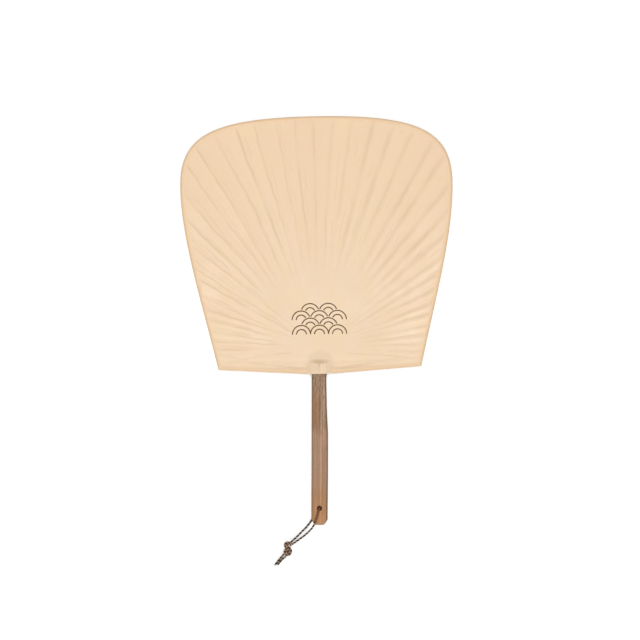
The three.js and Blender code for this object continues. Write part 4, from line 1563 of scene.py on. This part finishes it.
KNOT_ROUTE = (
    (-0.0258, -0.1684, -0.0012), (-0.0276, -0.1673, 0.0004), (-0.0296, -0.1668, 0.0009),
    (-0.0312, -0.1682, 0.0004), (-0.0303, -0.1706, -0.0012), (-0.0277, -0.1722, -0.0018),
    (-0.0268, -0.1745, -0.0008), (-0.0283, -0.1768, 0.0008), (-0.0308, -0.1765, 0.0011),
    (-0.0314, -0.1741, 0.0008), (-0.0297, -0.1722, 0.0006), (-0.0290, -0.1707, -0.0002),
    (-0.0294, -0.1727, -0.0018), (-0.0305, -0.1757, -0.0020), (-0.0318, -0.1780, -0.0016),
)


@dataclass
class CordLoop:
    """The cord: two strands from the hole, the knot that joins them, and its two tails."""

    twine: Twine
    tip_material: bpy.types.Material
    tip_radius: float = 0.00092
    tip_length: float = 0.0016
    tip_overlap: float = 0.0002
    tip_sides: int = 20
    tip_unevenness: float = 0.05
    tip_profile: tuple[Span, ...] = (
        (0.0, 0.0), (0.62, 0.02), (0.9, 0.12), (1.0, 0.3), (0.97, 0.5), (1.0, 0.72), (0.86, 0.9),
        (0.55, 1.0), (0.0, 1.02),
    )
    pair_half: float = 0.00082

    def strand(self, name: str, points: Sequence[Place], node: str,
               turn: float) -> tuple[Object, list[Vector]]:
        """Wind one stretch of the cord and return it with its centreline."""
        path = catmull_rom(route(points))
        return dress(self.twine.wind(name, path, turn), Body.LOOP, node), path

    def knot_path(self, shift: float) -> list[Vector]:
        """Draw one of the two strands through the knot.

        Args:
            shift: How far the strand lies to one side of the pair's middle.

        Returns:
            Its centreline in the frame.
        """
        middle = catmull_rom(route(KNOT_ROUTE))
        path: list[Vector] = []
        for index, point in enumerate(middle):
            ahead = middle[min(index + 3, len(middle) - 1)] - middle[max(index - 3, 0)]
            path.append(point + ahead.cross(FRONT_WAY).normalized() * shift)
        return path

    def knot(self) -> Object:
        """Tie the two strands in one knot.

        Returns:
            The piece.
        """
        work = bmesh.new()
        for index, (shift, turn) in enumerate(((-self.pair_half, 0.4), (self.pair_half, 2.1))):
            strand = self.twine.wind(f"knot_strand_{index}", self.knot_path(shift), turn)
            work.from_mesh(strand.data)
            bpy.data.objects.remove(strand)
        return dress(work_object("cord_overhand_knot", work), Body.LOOP, "cord_knot",
                     self.twine.material)

    def tip(self, name: str, points: Sequence[Place], node: str) -> Object:
        """Make the stiffened end of a tail, a little uneven and rounded at both ends.

        Args:
            name: Name of the piece.
            points: The tail's route.
            node: The CAD node that it stands for.

        Returns:
            The piece.
        """
        before, last = route(points)[-2:]
        along = (last - before).normalized()
        side = along.cross(FRONT_WAY).normalized()
        up, sides = side.cross(along), self.tip_sides
        corners: list[Vector] = []
        for radius_share, length_share in self.tip_profile:
            for index in range(sides):
                angle = 2 * math.pi * index / sides
                uneven = 1 + self.tip_unevenness * math.sin(3 * angle + 4 * length_share)
                radius = self.tip_radius * radius_share * uneven
                corners.append(last - along * self.tip_overlap + along * (length_share * self.tip_length)
                               + (side * math.cos(angle) + up * math.sin(angle)) * radius)
        faces = [(ring * sides + i, ring * sides + (i + 1) % sides, (ring + 1) * sides + (i + 1) % sides,
                  (ring + 1) * sides + i) for ring in range(len(self.tip_profile) - 1) for i in range(sides)]
        obj = mesh_object(name, corners, faces)
        outward(obj, 1e-6)
        shade(obj, 70)
        return dress(obj, Body.LOOP, node, self.tip_material)

    def build(self) -> None:
        """Make the whole cord and log the lengths of its two strands from the hole."""
        front, front_path = self.strand("front_strand", FRONT_ROUTE, "cord_front", 0.3)
        back, back_path = self.strand("back_strand", BACK_ROUTE, "cord_back", 0.3 + math.pi)
        tails = (("left", LEFT_TAIL_ROUTE, 1.0), ("right", RIGHT_TAIL_ROUTE, 2.4))
        ends = [self.knot()]
        for side, points, turn in tails:
            ends.append(self.strand(f"{side}_tail", points, f"cord_tail_{side}", turn)[0])
        for side, points, _ in tails:
            ends.append(self.tip(f"{side}_tail_tip", points, f"tail_tip_{side}"))
        for obj, path, others in ((front, front_path, ends), (back, back_path, [])):
            length = path_length(path)
            LOG.info("%s is %.1f mm long", obj.name, length / MM)


@dataclass
class WavePrint:
    """A small traditional wave pattern, printed in thin brown lines low on the face."""

    relief: Relief
    material: bpy.types.Material
    foot: Span = (0.0003, 0.0251)
    scale_radius: float = 0.0083
    row_share: float = 0.8
    rings: tuple[float, ...] = (1.0, 0.55)
    line: float = 0.0010
    lift: float = 0.00003
    rows: tuple[tuple[float, ...], ...] = ((-0.5, 0.5), (-1.0, 0.0, 1.0), (-0.5, 0.5), (-1.0, 0.0, 1.0))

    def arcs(self) -> list[np.ndarray]:
        """Draw the middle line of each arc, stopping where the scale in front of it begins.

        Returns:
            The lines, each with a point a row.
        """
        found: list[np.ndarray] = []
        radius, last = self.scale_radius, len(self.rows) - 1
        drop, angles = radius * self.row_share, np.linspace(0, math.pi, 61)
        arc = np.stack((np.cos(angles), np.sin(angles)), 1) * radius
        for row, places in enumerate(self.rows):
            in_front = self.rows[row + 1] if row < last else ()
            for place, share in ((place, share) for place in places for share in self.rings):
                line = np.array((place * 2 * radius, (last - row) * drop)) + arc * share
                keep = np.ones(len(line), bool)
                for other in in_front:
                    near = line - (other * 2 * radius, (last - row - 1) * drop)
                    keep &= np.hypot(near[:, 0], near[:, 1]) > radius + self.line
                runs = np.split(np.arange(len(line)), np.flatnonzero(np.diff(keep.astype(int))) + 1)
                found.extend(line[run] for run in runs if keep[run[0]] and len(run) > 3)
        return found

    def build(self) -> Object:
        """Lay the lines on the paper.

        Returns:
            The piece.
        """
        points: list[np.ndarray] = []
        faces: list[tuple[int, ...]] = []
        for line in self.arcs():
            ahead = np.gradient(line, axis=0)
            side = np.stack((-ahead[:, 1], ahead[:, 0]), 1) / np.linalg.norm(ahead, axis=1)[:, None]
            first, count = len(points), len(line)
            for shift in (-0.5, 0.5):
                x, y = (line + side * shift * self.line + self.foot).T
                level = self.relief.heights(x, y, SEED + Side.FRONT.value)["level"]
                points.extend(self.relief.outline.to_frame(x, y, level + self.lift))
            faces.extend((i, i + 1, count + i + 1, count + i) for i in range(first, first + count - 1))
        obj = mesh_object("wave_print", points, faces)
        for polygon in obj.data.polygons:
            if polygon.normal.z < 0:
                polygon.flip()
        return dress(obj, Body.FAN, material=self.material)


@dataclass
class Studio:
    """The plain floor, the soft light and the camera straight above."""

    floor_level: float = -0.00406
    floor_size: float = 6.0
    pixel: float = 0.9185 * MM
    frame_pixels: int = 640
    bow_pixel: Span = (319.5, 361.5)
    lens: float = 100.0
    sensor: float = 36.0

    def camera(self) -> None:
        """Put the camera over the middle of the photograph's frame."""
        data = bpy.data.cameras.new("camera")
        data.lens, data.sensor_width = self.lens, self.sensor
        data.clip_start, data.clip_end = 0.01, 50.0
        half = self.frame_pixels / 2
        across = BOW_POINT.x + (half - self.bow_pixel[0]) * self.pixel
        up = BOW_POINT.y + (self.bow_pixel[1] - half) * self.pixel
        obj = new_object("camera", data)
        obj.location = (across, up, self.frame_pixels * self.pixel * self.lens / self.sensor)
        bpy.context.scene.camera = obj

    def floor(self) -> None:
        """Lay the white floor, which keeps the object's shadow; deep in the hole, where ambient occlusion
        finds it closed in, its colour is painted dark brown as painted shade and its glow is taken away.
        """
        half = self.floor_size / 2
        corners = [(x * half, y * half, self.floor_level) for x, y in ((-1, -1), (1, -1), (1, 1), (-1, 1))]
        obj = mesh_object("floor", corners, [(0, 1, 2, 3)])
        shader = Shader("white_floor", (255, 255, 255))
        seen = shader.rays("Camera", "Glossy", "Transmission")
        openness = shader.add("ShaderNodeAmbientOcclusion", {"Distance": 0.02}, samples=12)
        open_share = Value(shader, openness.outputs["AO"]).ramp(0.2, 0.34)
        shader.surface["Emission Color"].default_value = (1, 1, 1, 1)
        shader.link(seen * open_share * 0.4, shader.surface["Emission Strength"])
        # Painted shade: the floor's colour turns dark brown where ambient occlusion finds it closed in, as
        # under the handle's hole.
        shader.colour = shader.mix(open_share, (0.34, 0.12, 0.02, 1.0), (0.8, 0.8, 0.8, 1.0))
        obj.data.materials.append(shader.finish(0.9))

    def world(self) -> None:
        """Fill the world with soft white light, plain white where the camera sees it."""
        world = bpy.data.worlds.new("studio")
        bpy.context.scene.world = world
        world.use_nodes = True
        background = world.node_tree.nodes["Background"].inputs
        background["Color"].default_value = (1, 1, 1, 1)
        graph = Graph(world.node_tree)
        graph.link(graph.rays("Camera", "Glossy").ramp(0.0, 1.0, 0.42, 1.0), background["Strength"])

    def lamp(self, name: str, place: Place, size: float, power: float) -> None:
        """Hang a square soft lamp that looks at the fan.

        Args:
            name: Name of the lamp.
            place: Where it hangs.
            size: Its width.
            power: Its power in watts.
        """
        data = bpy.data.lights.new(name, "AREA")
        data.size, data.energy = size, power
        obj = new_object(name, data)
        obj.location = place
        obj.rotation_mode = "QUATERNION"
        obj.rotation_quaternion = (-Vector(place)).to_track_quat("-Z", "Y")

    def build(self) -> None:
        """Make the floor, the world and the lamps."""
        self.floor()
        self.world()
        self.lamp("window_light", (0.25, -2.5, 1.35), 0.9, 41.0)
        self.lamp("top_light", (-0.2, 0.6, 2.1), 1.8, 22.2)
        bpy.context.scene.view_settings.view_transform = "Standard"


def dress_frame_nodes(split_bamboo: bpy.types.Material, thread: bpy.types.Material) -> None:
    """Give the CAD nodes that stay their finish.

    Args:
        split_bamboo: For the ribs and the bow.
        thread: For the weaving thread.
    """
    for name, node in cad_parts.items():
        if name.startswith("rib_") or name in ("bow", "weaving_thread"):
            node.data.materials.clear()
            node.data.materials.append(thread if name == "weaving_thread" else split_bamboo)


def main() -> None:
    """Build the fan in order, and report each piece."""
    logging.basicConfig(level=logging.INFO, format="%(name)s: %(message)s")
    studio = Studio()
    studio.camera()
    twine = Twine(TwineFinish(name="two_colour_twine", dark=(50, 34, 24), light=(200, 176, 152),
                              bamboo_reflection=(124, 80, 46), knotted=(206, 146, 120)).build())
    tip = PlainFibreFinish(name="stiffened_cord_end", colour=(190, 186, 178), shade=(150, 146, 140),
                           roughness=0.6).build()
    CordLoop(twine, tip).build()
    outline = Outline()
    relief = Relief(outline)
    paper = FaceFinish(name="handmade_paper", colour=(242, 217, 188), cloud=(238, 211, 180), relief=relief,
                       crown=(241, 212, 178), crease_shade=(220, 190, 154), neck_shade=(198, 168, 134),
                       low_shade_and_strip_tone=(236, 208, 175)).build()
    for side in Side:
        PaperFace(relief, side, paper).build()
    binding = StripFinish(name="binding_paper", colour=(247, 216, 181), cloud=(244, 211, 175),
                          edge=(230, 198, 158), fold=(213, 183, 152), foot=(236, 206, 172)).build()
    EdgeStrip(outline, binding).build()
    smoked = SmokedHandleFinish(name="smoked_bamboo", middle=(146, 114, 84), light=(180, 144, 114),
                                red=(162, 114, 80), dark=(98, 74, 48), patch=(140, 96, 58),
                                pink=(184, 144, 114), foot=(206, 144, 86), painted_shade=(60, 44, 28)).build()
    Handle(smoked).build()
    pale = BambooFinish(name="split_bamboo", middle=(205, 172, 124), light=(222, 192, 146),
                        red=(204, 166, 120), dark=(170, 134, 90)).build()
    thread = PlainFibreFinish(name="cotton_thread", colour=(232, 220, 196), shade=(206, 192, 164),
                              roughness=0.9).build()
    dress_frame_nodes(pale, thread)
    ink = InkFinish(name="brown_ink", colour=(76, 52, 16), faded=(114, 84, 42)).build()
    WavePrint(relief, ink).build()
    studio.build()


if __name__ == "__main__":
    main()
